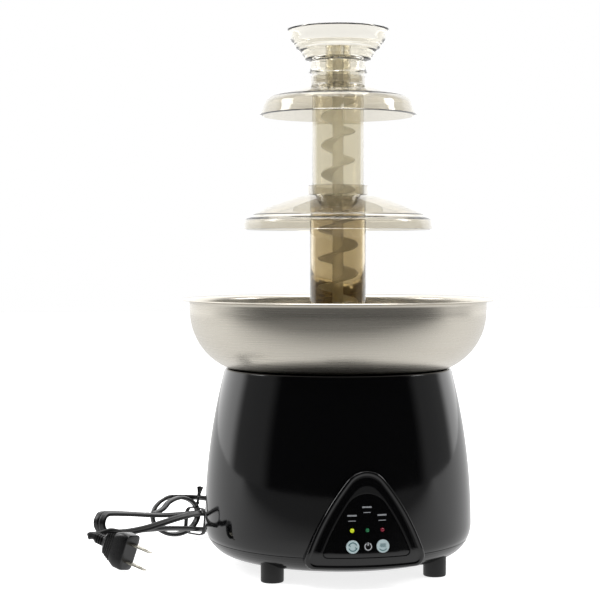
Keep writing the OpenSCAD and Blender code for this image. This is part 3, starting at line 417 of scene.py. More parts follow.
def twin_section(sides=20):
    """Two round cores side by side under one skin, with a groove 0.5 mm deep between them."""
    out = []
    for k in range(sides):
        a = 2 * math.pi * (k + 0.5) / sides
        w = core_half_w * math.cos(a)
        t = core_half_t * math.sin(a) * (1 - groove_share * math.exp(-(w / groove_w) ** 2))
        out.append((w * MM, t * MM))
    return out


lead_ways, lead_flats = lead_widths(lead_line)
section = twin_section()
mains_lead = wrapped("mains_lead", [[p + w * a + way.cross(w) * b for a, b in section]
                                    for p, way, w in zip(lead_line, lead_ways, lead_flats)])
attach(mains_lead, "base")
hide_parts("cord_lead", "cord_hank", "cord_tail")


# Plug: a moulded block with finger ridges, its neck round the lead, and two flat blades

def loop_of(x, half_w, half_h, corner, count=32):
    """A rounded rectangle across the plug at x, in millimetres: a higher corner makes it squarer."""
    power = 2 / corner
    out = []
    for k in range(count):
        a = 2 * math.pi * (k + 0.5) / count
        c, s = math.cos(a), math.sin(a)
        out.append(plug_place @ (Vector((x, half_w * math.copysign(abs(c) ** power, c),
                                         half_h * math.copysign(abs(s) ** power, s))) * MM))
    return out


# Each entry is (x, half width, half height, corner), from the face back to the lead
plug_shape = [(0.0, 6.9, 12.3, 6), (-0.3, 7.3, 12.7, 6), (-1.2, 7.5, 12.9, 6), (-7, 7.5, 12.9, 6),
              (-9, 7.3, 12.2, 5.5), (-11, 7.1, 11.3, 5)]
ridge_count = 4
for k in range(ridge_count):
    x, w, h = -12 - 2.2 * k, 6.9 - 0.55 * k, 10.9 - 0.85 * k
    plug_shape += [(x, w, h, 4.6), (x - 0.5, w - 0.7, h - 0.8, 4.4), (x - 1.1, w - 0.7, h - 0.8, 4.4),
                   (x - 1.6, w - 0.1, h - 0.2, 4.4)]
plug_shape += [(-21, 4.6, 7.6, 4), (-22, 4.0, 6.4, 3.6), (-22.6, 3.2, 4.4, 3.2)]
for k in range(ridge_count):
    x = -23.4 - 2.1 * k
    plug_shape += [(x, 2.9, 3.9, 3), (x - 1.0, 2.9, 3.8, 3), (x - 1.2, 2.2, 3.1, 3), (x - 1.9, 2.2, 3.1, 3)]
plug_shape += [(-31.8, 2.6, 3.4, 3), (-32, 2.2, 3.0, 3)]
plug_block = wrapped("plug_moulding", [loop_of(*s) for s in plug_shape])
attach(plug_block, "base")
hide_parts("plug_body")


blade_size, blade_x, blade_z = (17.4, 6.35, 1.5), 8.3, 6.35
blade_hole_r, blade_hole_x, point_x, point_w, point_t = 1.6, 12.2, 16, 0.72, 0.4


def blade(name, z):
    """One flat blade at z, narrower and thinner at its point and with a hole near it, in millimetres."""
    piece = block(name, blade_size, (blade_x, 0, z))
    edit(piece)
    mesh = bmesh.from_edit_mesh(piece.data)
    for v in mesh.verts:
        if v.co.x > point_x * MM:
            v.co.y *= point_w
            v.co.z = z * MM + (v.co.z - z * MM) * point_t
    bmesh.update_edit_mesh(piece.data)
    bpy.ops.object.mode_set(mode="OBJECT")
    cut(piece, rod(name + "_hole", blade_hole_r, z - 3, z + 3, (blade_hole_x, 0), 24))
    apply_modifier(piece, "BEVEL", width=0.2 * MM, segments=2, limit_method="ANGLE")
    smooth(piece)
    return placed(piece, plug_place)


plug_pins = join("plug_pins", blade("pin_low", -blade_z), blade("pin_high", blade_z))
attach(plug_pins, "base")
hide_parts("plug_blades")

# Twist tie: a flat strip with a wire in it, round the hank, its ends twisted together
tie_at = at_hank(34, 0.6, 0)
tie_place = Matrix((hank_n, hank_v, hank_s)).transposed()
tie_w, tie_h = 5.9 + 2.7 + 1.2, 7 + 2.8  # half the hank's width and height, with some room
tie_t, tie_power, tie_count = 0.4, 0.45, 40
tie_line = []
for k in range(tie_count):
    a = 2 * math.pi * k / tie_count + math.pi / 2
    c, s = math.cos(a), math.sin(a)
    tie_line.append((math.copysign(abs(c) ** tie_power, c) * (tie_w + tie_t),
                     math.copysign(abs(s) ** tie_power, s) * (tie_h + tie_t)))


def strip(points, flats, w=1.8, t=0.4, bulge=0.25):
    """Rings of a flat strip whose middle is raised by the wire inside."""
    low = [(-w, -t), (-w / 3, -t), (0, -t - bulge), (w / 3, -t), (w, -t)]
    outline = low + [(-x, -y) for x, y in low]
    rings = []
    for p, way, flat in zip(points, headings(points), flats):
        flat = (flat - flat.dot(way) * way).normalized()
        up = way.cross(flat)
        rings.append([p + flat * x * MM + up * y * MM for x, y in outline])
    return rings


def in_tie(x, y, z=0.0):
    return tie_at + tie_place @ Vector((x, y, z)) * MM


band = [in_tie(x, y) for x, y in tie_line]
tie_band = wrapped("tie_band", strip(band + band[:1], [hank_s] * (tie_count + 1)))
# The two ends wind round each other over the twisted share of their length and then part
end_count, end_length, end_lean = 30, 17, 0.12
twisted, twist_r, half_turns, fan = 0.62, 0.55, 3.2, 3.2
ends = []
for side in (-1, 1):
    points, flats = [], []
    for k in range(end_count + 1):
        t = k / end_count
        turn = math.pi * (0.5 + half_turns * min(t / twisted, 1))
        spread = twist_r if t < twisted else twist_r + fan * ((t - twisted) / (1 - twisted)) ** 1.4
        points.append(in_tie(side * spread * math.cos(turn) + end_lean * end_length * t,
                             tie_h + 0.2 + end_length * t, side * twist_r * math.sin(turn)))
        flats.append(tie_place @ Vector((-math.sin(turn), 0, math.cos(turn))))
    ends.append(wrapped("tie_end", strip(points, flats, 1.3, 0.3, 0.2)))
twist_tie = join("twist_tie", tie_band, *ends)
smooth(twist_tie)
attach(twist_tie, "base")
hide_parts("cord_tie")

# Strain relief: a tapered sleeve with open ribs, on a collar that grips the wall
relief_line = [(2.9, -2), (5.9, -2, 0.5), (5.9, 1.2, 0.5), (4.9, 2.2)]
rib_count, rib_pitch, rib_taper = 5, 4.1, 0.27
for k in range(rib_count):
    y, r = 4.6 + rib_pitch * k, 4.8 - rib_taper * k
    relief_line += [(r, y, 0.3), (r - 1.2, y + 0.1, 0.2), (r - 1.25, y + 1.7, 0.2), (r - 0.15, y + 1.8, 0.3)]
relief_line += [(3.5, 25.4, 0.5), (2.9, 25.9)]
relief = turned("strain_sleeve", rounded(relief_line), steps=48)
to_the_back = Matrix.Rotation(math.radians(-90), 4, "X")
placed(relief, Matrix.Translation((0, relief_y + relief_seat, exit_z)) @ to_the_back)
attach(relief, "base")
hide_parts("strain_relief")


# Base housing, the bowl and the tower, on the profiles of the part's source, in millimetres

belly_r, belly_z, neck_r, wall = 96, 30, 81.4, 2.6
under_z, corner_w, corner_h, parting_z = 9, 20, 22, 20.6
bowl_r, bowl_floor_z, bowl_round, bowl_wall_z, steel_t = 106.5, 138.6, 43.8, 187.8, 0.8
bowl_flat_r = bowl_r - bowl_round
seam_gap = 0.3
seam_z = (bowl_floor_z + bowl_round - math.sqrt(bowl_round ** 2 - (neck_r - wall - bowl_flat_r) ** 2)
          - seam_gap)
belly_arc = ((seam_z - belly_z) ** 2 + (belly_r - neck_r) ** 2) / (2 * (belly_r - neck_r))
corner_x = belly_r - corner_w


def belly(z):
    """The radius of the large arc from the widest place up to the neck."""
    return belly_r - belly_arc + math.sqrt(belly_arc ** 2 - max(z - belly_z, 0) ** 2)


def skin(z):
    """The housing's outer radius at a height, with the round corner below."""
    if z >= under_z + corner_h:
        return belly(z)
    corner = math.sqrt(max(0, 1 - ((under_z + corner_h - z) / corner_h) ** 2))
    return min(belly(z), corner_x + corner_w * corner)


def arc(cx, cy, r, start, end, n=12):
    return [(cx + r * math.cos(math.radians(start + (end - start) * i / n)),
             cy + r * math.sin(math.radians(start + (end - start) * i / n))) for i in range(n + 1)]


def around(r, *angles):
    """Places on a circle round the axis."""
    return [(r * math.cos(math.radians(a)), r * math.sin(math.radians(a))) for a in angles]


def evenly(low, high, count):
    """Values in equal steps, with both ends."""
    return [low + (high - low) * i / count for i in range(count + 1)]


def beside(line, t):
    """The same line moved sideways by t, to its left."""
    out = []
    for i, p in enumerate(line):
        a, b = Vector(line[max(i - 1, 0)]), Vector(line[min(i + 1, len(line) - 1)])
        d = (b - a).normalized()
        out.append((p[0] - t * d.y, p[1] + t * d.x))
    return out


def sheet_of(line, t):
    """A closed profile: the line, and back beside it at the sheet's thickness."""
    return list(line) + beside(line, t)[::-1]


def curve(points, parts=5):
    return [tuple(p) for p in flowing([Vector(p) for p in points], parts)]


rim_r, joint_gap, joint_chamfer = 1.5, 0.15, 0.3
housing_outer = [(skin(z), z) for z in [parting_z + joint_gap] + evenly(parting_z + 0.6, seam_z - 1.4, 40)]
housing_outer[0] = (housing_outer[0][0] - joint_chamfer, housing_outer[0][1])
housing_inner = [(skin(z) - wall, z) for z in evenly(seam_z - 3, parting_z + joint_gap, 20)]
top_r, top_z = housing_outer[-1]
housing = turned("housing_shell", housing_outer + arc(top_r - rim_r, top_z, rim_r, 20, 90, 5)
                 + [(top_r - rim_r - wall, top_z + 1.2)] + housing_inner, steps=192)

# Control panel: an arched outline with sides of one radius, pushed out of the front

side_r, side_cz, half_low, ref_z = 160.8, -28.2, 40.5, 23
side_cx = math.sqrt(side_r ** 2 - (ref_z - side_cz) ** 2) - half_low
hood_low_z, hood_top_z, hood_proud, hood_proud_top, bend_z, hood_tuck = 14.5, 79.5, 5.6, 2, 25, 0.3
hood_top_r, hood_low_r = 16, 6
fascia_in, fascia_top_r, fascia_low_z, fascia_low_r, panel_sunk = 9.3, 15.5, 22.6, 3, 0.6
hood_slope = (belly(hood_top_z) + hood_proud_top - belly_r - hood_proud) / (hood_top_z - bend_z)
tilt = math.degrees(math.atan(-hood_slope))


def hood_face(z):
    """The radius of the hood's face, which leans back above the bend and tucks in below it."""
    return (belly_r + hood_proud + hood_slope * (max(z, bend_z) - bend_z)
            - max(bend_z - z, 0) * hood_tuck)


def arch(inset, top_r, low_z, low_r):
    """The outline drawn inwards by inset, from the middle of its low edge round to the left."""
    r = side_r - inset
    top_c = side_cz + math.sqrt((r - top_r) ** 2 - side_cx ** 2)
    low_x = math.sqrt((r - low_r) ** 2 - (low_z + low_r - side_cz) ** 2) - side_cx
    low_a = math.degrees(math.atan2(low_z + low_r - side_cz, low_x + side_cx))
    top_a = math.degrees(math.atan2(top_c - side_cz, side_cx))
    half = ([(low_x * i / 12, low_z) for i in range(12)] + arc(low_x, low_z + low_r, low_r, -90, low_a, 6)
            + arc(-side_cx, side_cz, r, low_a, top_a, 30)[1:] + arc(0, top_c, top_r, top_a, 90, 10)[1:])
    return half + [(-x, z) for x, z in half[-2:0:-1]]


def on_round(x, r, z):
    """The place at x on the front of a circle of radius r at height z."""
    return Vector((x, -math.sqrt(r ** 2 - x * x), z)) * MM


def on_front(outline, lift):
    """Points of an outline on the hood's face, raised by lift."""
    return [on_round(x, hood_face(z) + lift, z) for x, z in outline]


def hood_ring(inset, lift):
    return on_front(arch(inset, hood_top_r - inset, hood_low_z + inset, max(hood_low_r - inset * 0.5, 1)),
                    lift)


def fascia_ring(inset, lift):
    return on_front(arch(fascia_in + inset, fascia_top_r - inset, fascia_low_z + inset,
                         max(fascia_low_r - inset * 0.4, 0.6)), lift)


# From the housing's skin over the bead, across the face, and down into the fascia's seat
least_skin_r, skin_lift = 70, 0.3
hood_rings = [[on_round(x, max(skin(z), least_skin_r) + skin_lift, z)
               for x, z in arch(0, hood_top_r, hood_low_z, hood_low_r)]]
hood_rings += [hood_ring(inset, lift) for inset, lift in (
    (0, -1.6), (0, 0.1), (0.12, 0.55), (0.45, 0.85), (0.9, 1.0), (1.5, 1.0), (2.0, 0.8), (2.4, 0.45),
    (2.8, 0.12), (3.4, 0), (5.2, 0), (7.2, 0))]
hood_rings += [fascia_ring(inset, lift) for inset, lift in (
    (-0.5, 0), (-0.2, -0.08), (-0.06, -0.35), (-0.06, -2.28), (2.4, -2.28), (2.4, -3.4))]
hood_rings.append([Vector((p.x, p.y + 0.0006, p.z)) for p in hood_rings[-1]])
hood_piece = wrapped("hood_frame", hood_rings, caps=False, angle=50)
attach(hood_piece, "base")
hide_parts("control_hood")

fascia_middle = Vector((0, 36))


def fascia_shrunk(share, lift):
    """The fascia's outline drawn towards its middle, to a share of its size."""
    outline = [tuple(fascia_middle + (Vector(p) - fascia_middle) * share)
               for p in arch(fascia_in, fascia_top_r, fascia_low_z, fascia_low_r)]
    return on_front(outline, lift)


fascia_rings = [fascia_shrunk(0.9, -2.2)]
fascia_rings += [fascia_ring(inset, lift)
                 for inset, lift in ((0, -2.2), (0, -0.85), (0.07, -0.68), (0.22, -panel_sunk))]
fascia_rings += [fascia_shrunk(share, -panel_sunk) for share in evenly(0.97, 0, 14)]
fascia_plate = wrapped("fascia_plate", fascia_rings, angle=50)


def at_control(z):
    """A frame on the control plane at height z, whose own Z is the caps' travel."""
    return (Matrix.Translation((0, (-hood_face(z) + panel_sunk) * MM, z * MM))
            @ Matrix.Rotation(math.radians(90 - tilt), 4, "X"))


button_pitch, button_r, power_r, button_z, lamp_z, lamp_r = 10.2, 4.4, 3.0, 30.2, 40.8, 1.5
cap_gap, lamp_gap = 0.15, 0.05
panel_xs = (-button_pitch, 0, button_pitch)
holes = []
for x, r in zip(panel_xs, (button_r, power_r, button_r)):
    holes.append(placed(rod("hole", r + cap_gap, -8, 6, (x, 0)), at_control(button_z)))
    holes.append(placed(rod("hole", lamp_r + lamp_gap, -8, 6, (x, 0), 32), at_control(lamp_z)))
cut(fascia_plate, *holes)
smooth(fascia_plate, 40)
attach(fascia_plate, "base")
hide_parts("fascia")

# The housing is open behind the fascia, and where the lead leaves
opening_in = 4.8
opening = arch(fascia_in + opening_in, fascia_top_r - opening_in, fascia_low_z + opening_in, 1)
cut(housing, wrapped("opening", [[Vector((x, y, z)) * MM for x, z in opening] for y in (-60, -130)]))
cut(housing, placed(rod("cord_hole", 5, 70, 110), Matrix.Translation((0, 0, exit_z)) @ to_the_back))
smooth(housing, 40)
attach(housing, "base")
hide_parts("base_housing")


def sag(x):
    """How far the curved face falls back at x from the middle."""
    return hood_face(button_z) - math.sqrt(hood_face(button_z) ** 2 - x * x)


def on_button(x):
    """The frame of the cap at x, set back as the face is."""
    return at_control(button_z) @ Matrix.Translation((x * MM, 0, -sag(x) * MM))


flange_out, flange_high, flange_low, stem_r, stem_low = 1.3, -2.9, -3.7, 1.6, -7.8


def button_piece(name, x, r):
    """A round cap with a shallow dish and a rounded edge, on its flange and stem."""
    cap_line = [(0, 0.42), (r * 0.55, 0.5), (r - 0.9, 0.78), (r - 0.05, 0.8, 0.35), (r - 0.05, flange_high),
                (r + flange_out, flange_high), (r + flange_out, flange_low), (stem_r, flange_low),
                (stem_r, sag(x) + stem_low), (0, sag(x) + stem_low)]
    cap = turned(name, rounded(cap_line, closed=False), closed=False, steps=64)
    # The flange is cut flat below, clear of the fascia's edge
    cut(cap, block("flat", (20, 8, 4), (0, -button_r - 4.1, -3.4)))
    return placed(cap, on_button(x))


buttons = {}
for name, body, x, r in (("mix_cap", "mix_key", -button_pitch, button_r),
                         ("power_cap", "power_key", 0, power_r),
                         ("heat_cap", "heat_key", button_pitch, button_r)):
    buttons[name] = button_piece(name, x, r)
    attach(buttons[name], body)
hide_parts("mix_button")
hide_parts("power_button")
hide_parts("heat_button")


def printed(name, line, width, place, height=0.0, thick=0.05):
    """A printed stroke along a line of (x, y), flat on the place's plane at a height, in millimetres."""
    left, right = beside(line, width / 2), beside(line, -width / 2)
    rings = []
    for a, b in zip(left, right):
        rings.append([place @ (Vector((p[0], p[1], h)) * MM)
                      for p, h in ((a, height), (a, height + thick), (b, height + thick), (b, height))])
    return wrapped(name, rings)


# Icons, with their foot sunk in the dished caps: two arrows in a ring, rising heat, and a power sign
on_mix, on_power, on_heat = [on_button(x) for x in panel_xs]
mix_marks = [printed("mark", line, width, on_mix, 0.5, 0.2) for line, width in (
    (arc(0, 0, 2.75, 20, 160, 24), 0.62), (arc(0, 0, 2.75, 200, 340, 24), 0.62),
    ([(-3.5, 0.35), (-2.55, 1.5), (-1.7, 0.3)], 0.5), ([(3.5, -0.35), (2.55, -1.5), (1.7, -0.3)], 0.5))]
mix_print = join("mix_print", *mix_marks)
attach(mix_print, "mix_key")
heat_marks = [printed("mark", [(x + 0.28 * math.sin(2.6 * t), -0.7 + t * 0.62) for t in evenly(0, 4, 12)],
                      0.5, on_heat, 0.42, 0.2) for x in (-1.3, 0, 1.3)]
heat_marks.append(printed("mark", arc(0, 0, 2.9, 215, 325, 20), 0.55, on_heat, 0.55, 0.2))
heat_print = join("heat_print", *heat_marks)
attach(heat_print, "heat_key")
power_marks = [printed("mark", line, 0.45, on_power, 0.42, 0.45)
               for line in (arc(0, 0, 2.25, 118, 422, 40), [(0, 0.6), (0, 2.7)])]
power_print = join("power_print", *power_marks)
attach(power_print, "power_key")


def on_fascia(x, z):
    """A frame on the curved fascia at (x, z), turned to lie flat on it."""
    r = hood_face(z) - panel_sunk
    a = math.asin(x / r)
    return (Matrix.Translation(Vector((x, -r * math.cos(a), z)) * MM) @ Matrix.Rotation(a, 4, "Z")
            @ Matrix.Rotation(math.radians(90 - tilt), 4, "X"))


# Plain strokes stand over the lamps: a wide one, and a narrow one below it
captions = []
for x, z in zip(panel_xs, (48.2, 53.6, 48.2)):
    captions.append(printed("mark", [(-3.1, 2.3), (3.1, 2.3)], 1.05, on_fascia(x, z)))
    captions.append(printed("mark", [(-2.5, 0), (2.5, 0)], 0.5, on_fascia(x, z - 1.2)))
caption_print = join("caption_print", *captions)
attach(caption_print, "base")

lamp_body_r, lamp_low, lamp_set_back = 1.48, -13.9, 0.6
lamps = []
for name, x in zip(("lamp_yellow", "lamp_green", "lamp_red"), panel_xs):
    lamp = turned(name, [(0, 0.5)] + arc(0, -1.0, lamp_r, 80, 10, 6)[1:]
                  + [(lamp_body_r, -1.5), (lamp_body_r, lamp_low), (0, lamp_low)], closed=False, steps=32)
    set_back = Matrix.Translation((x * MM, 0, -sag(x) * MM * lamp_set_back))
    lamps.append(placed(lamp, at_control(lamp_z) @ set_back))
    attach(lamp, "base")
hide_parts("indicator_lamps")

# Feet: round rubber feet with a rounded sole
foot_line = [(0, 0.5), (4.6, 0.5), (5.2, 0), (7.9, 0, 1.0), (8, 16), (0, 16)]
foot = turned("foot", rounded(foot_line, closed=False), closed=False, steps=64)
feet = [copied(foot, "foot", Matrix.Translation((x * MM, y * MM, 0)))
        for x, y in around(80.8, 45, 135, 225, 315)]
bpy.data.objects.remove(foot, do_unlink=True)
rubber_feet = join("rubber_feet", *feet)
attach(rubber_feet, "base")
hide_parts("feet")

# Bowl: one sheet with a large round, an upright wall and a flared lip with a folded edge
shaft_hole_r, post_hole_r, lip_r = 9.1, 2, 2.2
post_spots = around(26, 90, 210, 330)
bowl_line = ([(x, bowl_floor_z) for x in evenly(shaft_hole_r, bowl_flat_r, 8)[:-1]]
             + arc(bowl_flat_r, bowl_floor_z + bowl_round, bowl_round, -90, 0, 36)
             + [(bowl_r, bowl_wall_z)] + arc(bowl_r + lip_r, bowl_wall_z, lip_r, 180, 100, 8)[1:]
             + [(111.4, 190.3), (111.7, 190.6)])
bowl_piece = turned("bowl_sheet", sheet_of(bowl_line, steel_t), steps=256)
cut(bowl_piece, *[rod("post_hole", post_hole_r, 130, 150, spot) for spot in post_spots])
smooth(bowl_piece, 40)
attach(bowl_piece, "base")
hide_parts("bowl")

# Tower: moulded clear pieces, each standing on the one below

tube_r, up_r, tube_wall, tier_wall = 20.2, 18.6, 2.2, 2.0
tube_bore, up_bore = tube_r - tube_wall, up_r - tube_wall
large_z, small_z = 266, 343
foot_z = bowl_floor_z + steel_t + 0.3
flange_r, flange_top, tube_top = 30, foot_z + 2.4, large_z - 2.1
lower_line = [(flange_r, foot_z, 0.4), (flange_r, flange_top, 0.8), (tube_r, flange_top, 0.6),
              (tube_r, tube_top, 0.3), (tube_bore, tube_top, 0.3), (tube_bore, foot_z)]
lower = turned("lower_pipe", rounded(lower_line), steps=144)
inlet_r, inlet_z, nut_room_r = 7, foot_z + 9, 3.3
inlet_line = [(-inlet_r, foot_z - 1)] + arc(0, inlet_z, inlet_r, 180, 0, 12) + [(inlet_r, foot_z - 1)]
inlets = [placed(wrapped("inlet", [[Vector((r, -y, z)) * MM for y, z in inlet_line] for r in (10, 32)]),
                 Matrix.Rotation(math.radians(a), 4, "Z")) for a in (30, 150, 270)]
cut(lower, *inlets, *[rod("post_hole", nut_room_r, 138, 143, spot) for spot in post_spots])
smooth(lower, 40)
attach(lower, "lower_tower")
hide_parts("lower_tube")


def dome(r0, z0, r1, drop, rs, zs):
    """A dome's line from its collar to its rim, with shares of its width and of its drop."""
    return [(r0, z0)] + [(r0 + (r1 - r0) * a, z0 - drop * b) for a, b in zip(rs, zs)]


def tier(name, collar, line, below):
    """A closed profile: up and over the collar, out along the dome, back under it, and what hangs below."""
    outer = curve(line)
    under = beside(outer, -tier_wall)
    rim = ((outer[-1][0] + under[-1][0]) / 2, outer[-1][1] - 0.35)
    return turned(name, collar + outer + [rim] + under[::-1] + below, steps=192)


large_collar_r, large_bore, sleeve_r, sleeve_low = 21.6, up_r + 0.1, tube_bore - 0.1, large_z - 8
large_collar = [(large_bore, large_z), (large_bore, large_z + 6.6),
                ((large_bore + large_collar_r) / 2, large_z + 6.85), (large_collar_r, large_z + 6.5),
                (large_collar_r, large_z + 0.5)]
large_line = dome(large_collar_r, large_z, 68.3, 25, (0.195, 0.48, 0.696, 0.85, 0.889, 0.983, 1),
                  (0.032, 0.208, 0.38, 0.552, 0.62, 0.728, 1))
sleeve = [(sleeve_r, large_z - 2), (sleeve_r, sleeve_low), (sleeve_r - 1.6, sleeve_low),
          (sleeve_r - 1.6, large_z)]
large = tier("large_dome", large_collar, large_line, sleeve)
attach(large, "lower_tower")
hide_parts("large_tier")

small_collar_r, seat_r, neck_hole_r = 19.6, 17.6, 9.1
small_collar = [(neck_hole_r, small_z + 0.1), (neck_hole_r, small_z + 2), (seat_r, small_z + 2),
                (seat_r, small_z + 7.2), (18.6, small_z + 7.35), (small_collar_r, small_z + 7.2),
                (small_collar_r, small_z + 0.6)]
small_line = dome(small_collar_r, small_z + 0.1, 56.3, 20, (0.2, 0.4, 0.587, 0.755, 0.84, 0.91, 0.951, 1),
                  (0.005, 0.11, 0.215, 0.325, 0.4, 0.54, 0.76, 1))
small = tier("small_dome", small_collar, small_line, [(18.7, small_z - 2), (18.7, small_z + 0.1)])
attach(small, "upper_tower")
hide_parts("small_tier")

neck_top, spigot_r, spigot_bore, shoulder_low = 370.5, 9, 7.4, small_z - 2
upper_line = [(up_bore, large_z + 0.1), (up_r, large_z + 0.1, 0.3), (up_r, small_z, 0.8),
              (spigot_r, small_z, 0.3), (spigot_r, neck_top, 0.3), (spigot_bore, neck_top, 0.3),
              (spigot_bore, shoulder_low), (up_bore, shoulder_low, 0.6)]
upper = turned("upper_pipe", rounded(upper_line), steps=144)
# Two slots run down from the neck's top and hook round
slots = []
for a in (100, 280):
    turn = Matrix.Rotation(math.radians(a), 4, "Z")
    slots.append(placed(block("slot", (8, 2.6, 10), (spigot_r, 0, neck_top - 4)), turn))
    slots.append(placed(block("slot", (8, 5.2, 2.6), (spigot_r, 0, neck_top - 7.7)),
                        turn @ Matrix.Rotation(math.radians(12), 4, "Z")))
cut(upper, *slots)
smooth(upper, 40)
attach(upper, "upper_tower")
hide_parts("upper_tube")

# Crown: a spigot, a short stem and a cup with a wavy side, given in shares of its width and height
cup_rs = (0, 0.106, 0.156, 0.234, 0.284, 0.362, 0.511, 0.589, 0.638, 0.794, 0.872, 1)
cup_zs = (0, 0.067, 0.129, 0.196, 0.259, 0.326, 0.388, 0.451, 0.518, 0.647, 0.839, 1)
cup_low_r, crown_r, stem_low_z, stem_high_z, crown_top = 22.7, 36.8, 353, 361.8, 384.2
cup_floor, crown_seat, crown_bore, crown_neck_r = stem_high_z + 2, small_z + 7.3, 15.5, 17.5
cup_line = curve([(cup_low_r + (crown_r - cup_low_r) * a, stem_high_z + (crown_top - stem_high_z) * b)
                  for a, b in zip(cup_rs, cup_zs)], 4)
cup_inner = [(x - tier_wall, z) for x, z in cup_line if z > stem_high_z + tier_wall]
spigot_line = [(crown_bore, crown_seat - 4), (crown_neck_r, crown_seat - 4), (crown_neck_r, crown_seat)]
stem_line = [(18.9, crown_seat), (18.9, stem_low_z - 0.6), (20.5, stem_low_z), (20.9, stem_low_z + 0.4),
             (20.3, stem_low_z + 2), (20.2, stem_high_z - 0.8), (21.2, stem_high_z)]
cup = turned("crown_cup", spigot_line + stem_line + cup_line[1:-1]
             + [(crown_r - 0.15, crown_top - 0.3), (crown_r - 1, crown_top)] + cup_inner[::-1][1:]
             + [(cup_low_r - 1, cup_floor), (neck_hole_r, cup_floor), (neck_hole_r, stem_high_z),
                (crown_bore, stem_high_z)], steps=192)
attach(cup, "crown_cup")
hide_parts("crown")

# Auger: a flight that climbs round a round core, wider in the lower tube
pitch, low_r, high_r, core_r = 20.6, 14.6, 12.4, 4
auger_low, auger_top, step_z, flight_top = bowl_floor_z + steel_t + 2.2, 375, large_z - 7, small_z - 2
flight_low = auger_low + 6
turn_steps, run_in_steps = 60, 8
turns = (flight_top - flight_low) / pitch
count = int(turns * turn_steps)
rings = []
for k in range(count + 1):
    a = 2 * math.pi * turns * k / count
    z = flight_low + (flight_top - flight_low) * k / count
    share = min(max((z - step_z) / 1.2 + 0.5, 0), 1)
    r = low_r + (high_r - low_r) * share * share * (3 - 2 * share)
    run_in = min(min(k, count - k) / run_in_steps, 1)
    r = core_r + (r - core_r) * min(1, 0.3 + 0.7 * math.sin(run_in * math.pi / 2))
    half = [(3.2, 1.7), (6.5, 1.1), (r - 0.5, 0.8), (r, 0.35)]
    rings.append([Vector((q * math.cos(a), q * math.sin(a), z + h)) * MM
                  for q, h in [(q, -h) for q, h in half] + half[::-1]])
flight = wrapped("auger_screw", rings, angle=50)
cap_r, socket_r, socket_top = 5.4, 3.1, auger_low + 14
core_line = ([(socket_r, auger_low), (core_r - 0.4, auger_low), (core_r, auger_low + 0.4),
              (core_r, auger_top - cap_r * 1.5), (cap_r, auger_top - cap_r)]
             + arc(0, auger_top - cap_r, cap_r, 8, 90, 10)
             + [(0, socket_top), (2.6, socket_top), (socket_r, auger_low + 13.6)])
core = turned("auger_core", core_line, steps=48)
apply_modifier(flight, "BOOLEAN", operation="UNION", solver="EXACT", object=core)
bpy.data.objects.remove(core, do_unlink=True)
smooth(flight, 45)
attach(flight, "drive")
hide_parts("auger")


# Materials

def around_axis(material, scale_round, scale_up):
    """Coordinates that run round the Z axis slowly and across it fast, for marks left by turning."""
    place = node(material, "ShaderNodeTexCoord").outputs["Object"]
    split = node(material, "ShaderNodeSeparateXYZ", {0: place})
    angle = node(material, "ShaderNodeMath", {0: split.outputs["Y"], 1: split.outputs["X"]}, operation="ARCTAN2")
    slow = node(material, "ShaderNodeMath", {0: angle.outputs[0], 1: scale_round}, operation="MULTIPLY")
    flat = node(material, "ShaderNodeCombineXYZ", {0: split.outputs["X"], 1: split.outputs["Y"]})
    radius = node(material, "ShaderNodeVectorMath", {0: flat.outputs[0]}, operation="LENGTH")
    out = node(material, "ShaderNodeMath", {0: radius.outputs["Value"], 1: scale_up}, operation="MULTIPLY")
    up = node(material, "ShaderNodeMath", {0: split.outputs["Z"], 1: scale_up}, operation="MULTIPLY")
    return node(material, "ShaderNodeCombineXYZ",
                {0: slow.outputs[0], 1: out.outputs[0], 2: up.outputs[0]}).outputs[0]


def turned_metal(name, dark, light, rough, spread, line_mm, bump, **surface):
    """Metal with fine lines round the axis: they spread the gloss and vary the tone."""
    material, shader = blank(name, Base_Color=colour(light), Metallic=1.0, Roughness=rough, **surface)
    lines = around_axis(material, 1.6, 1 / (line_mm * MM))
    fine = node(material, "ShaderNodeTexNoise", {"Vector": lines, "Scale": 1.0, "Detail": 5, "Roughness": 0.65})
    bands = around_axis(material, 1.1, 60)
    broad = node(material, "ShaderNodeTexNoise", {"Vector": bands, "Scale": 1.0, "Detail": 2})
    both = node(material, "ShaderNodeMix", {"Factor": 0.35, 2: fine.outputs["Fac"], 3: broad.outputs["Fac"]})
    tone = node(material, "ShaderNodeMix", {"Factor": both.outputs[0], 6: colour(dark), 7: colour(light)},
                data_type="RGBA")
    feed(material, shader, "Base Color", tone.outputs[2])
    gloss = node(material, "ShaderNodeMapRange",
                 {0: fine.outputs["Fac"], **from_to(NOISE_LOW, NOISE_HIGH, rough - spread, rough + spread)})
    feed(material, shader, "Roughness", gloss.outputs[0])
    height = node(material, "ShaderNodeBump",
                  {"Height": fine.outputs["Fac"], "Strength": bump, "Distance": BUMP_DEPTH})
    feed(material, shader, "Normal", height.outputs["Normal"])
    return material


# ABS, moulded with a high gloss: sharp reflections, with a faint waviness of the mould
gloss_abs = wear("moulded_gloss_abs", "060607", 0.07, 0.02, 9, 0.05, IOR=1.54)
# ABS panel: as black as the housing, its reflections a little softer
panel_abs = wear("polished_panel_abs", "050506", 0.10, 0.03, 6, 0.04, IOR=1.54)
# Stainless steel sheet, spun and brushed round the axis: soft bands of warm grey. The real lines are
# finer than 0.9 mm and are drawn so wide to show at all
brushed_steel = turned_metal("brushed_stainless_sheet", "bfb9ad", "e6e1d6", 0.29, 0.09, 0.9, 0.25)
# Turned and polished steel: bright, with fine tool marks
bright_steel = turned_metal("turned_bright_steel", "a5a6a8", "d2d3d4", 0.2, 0.06, 0.35, 0.15)


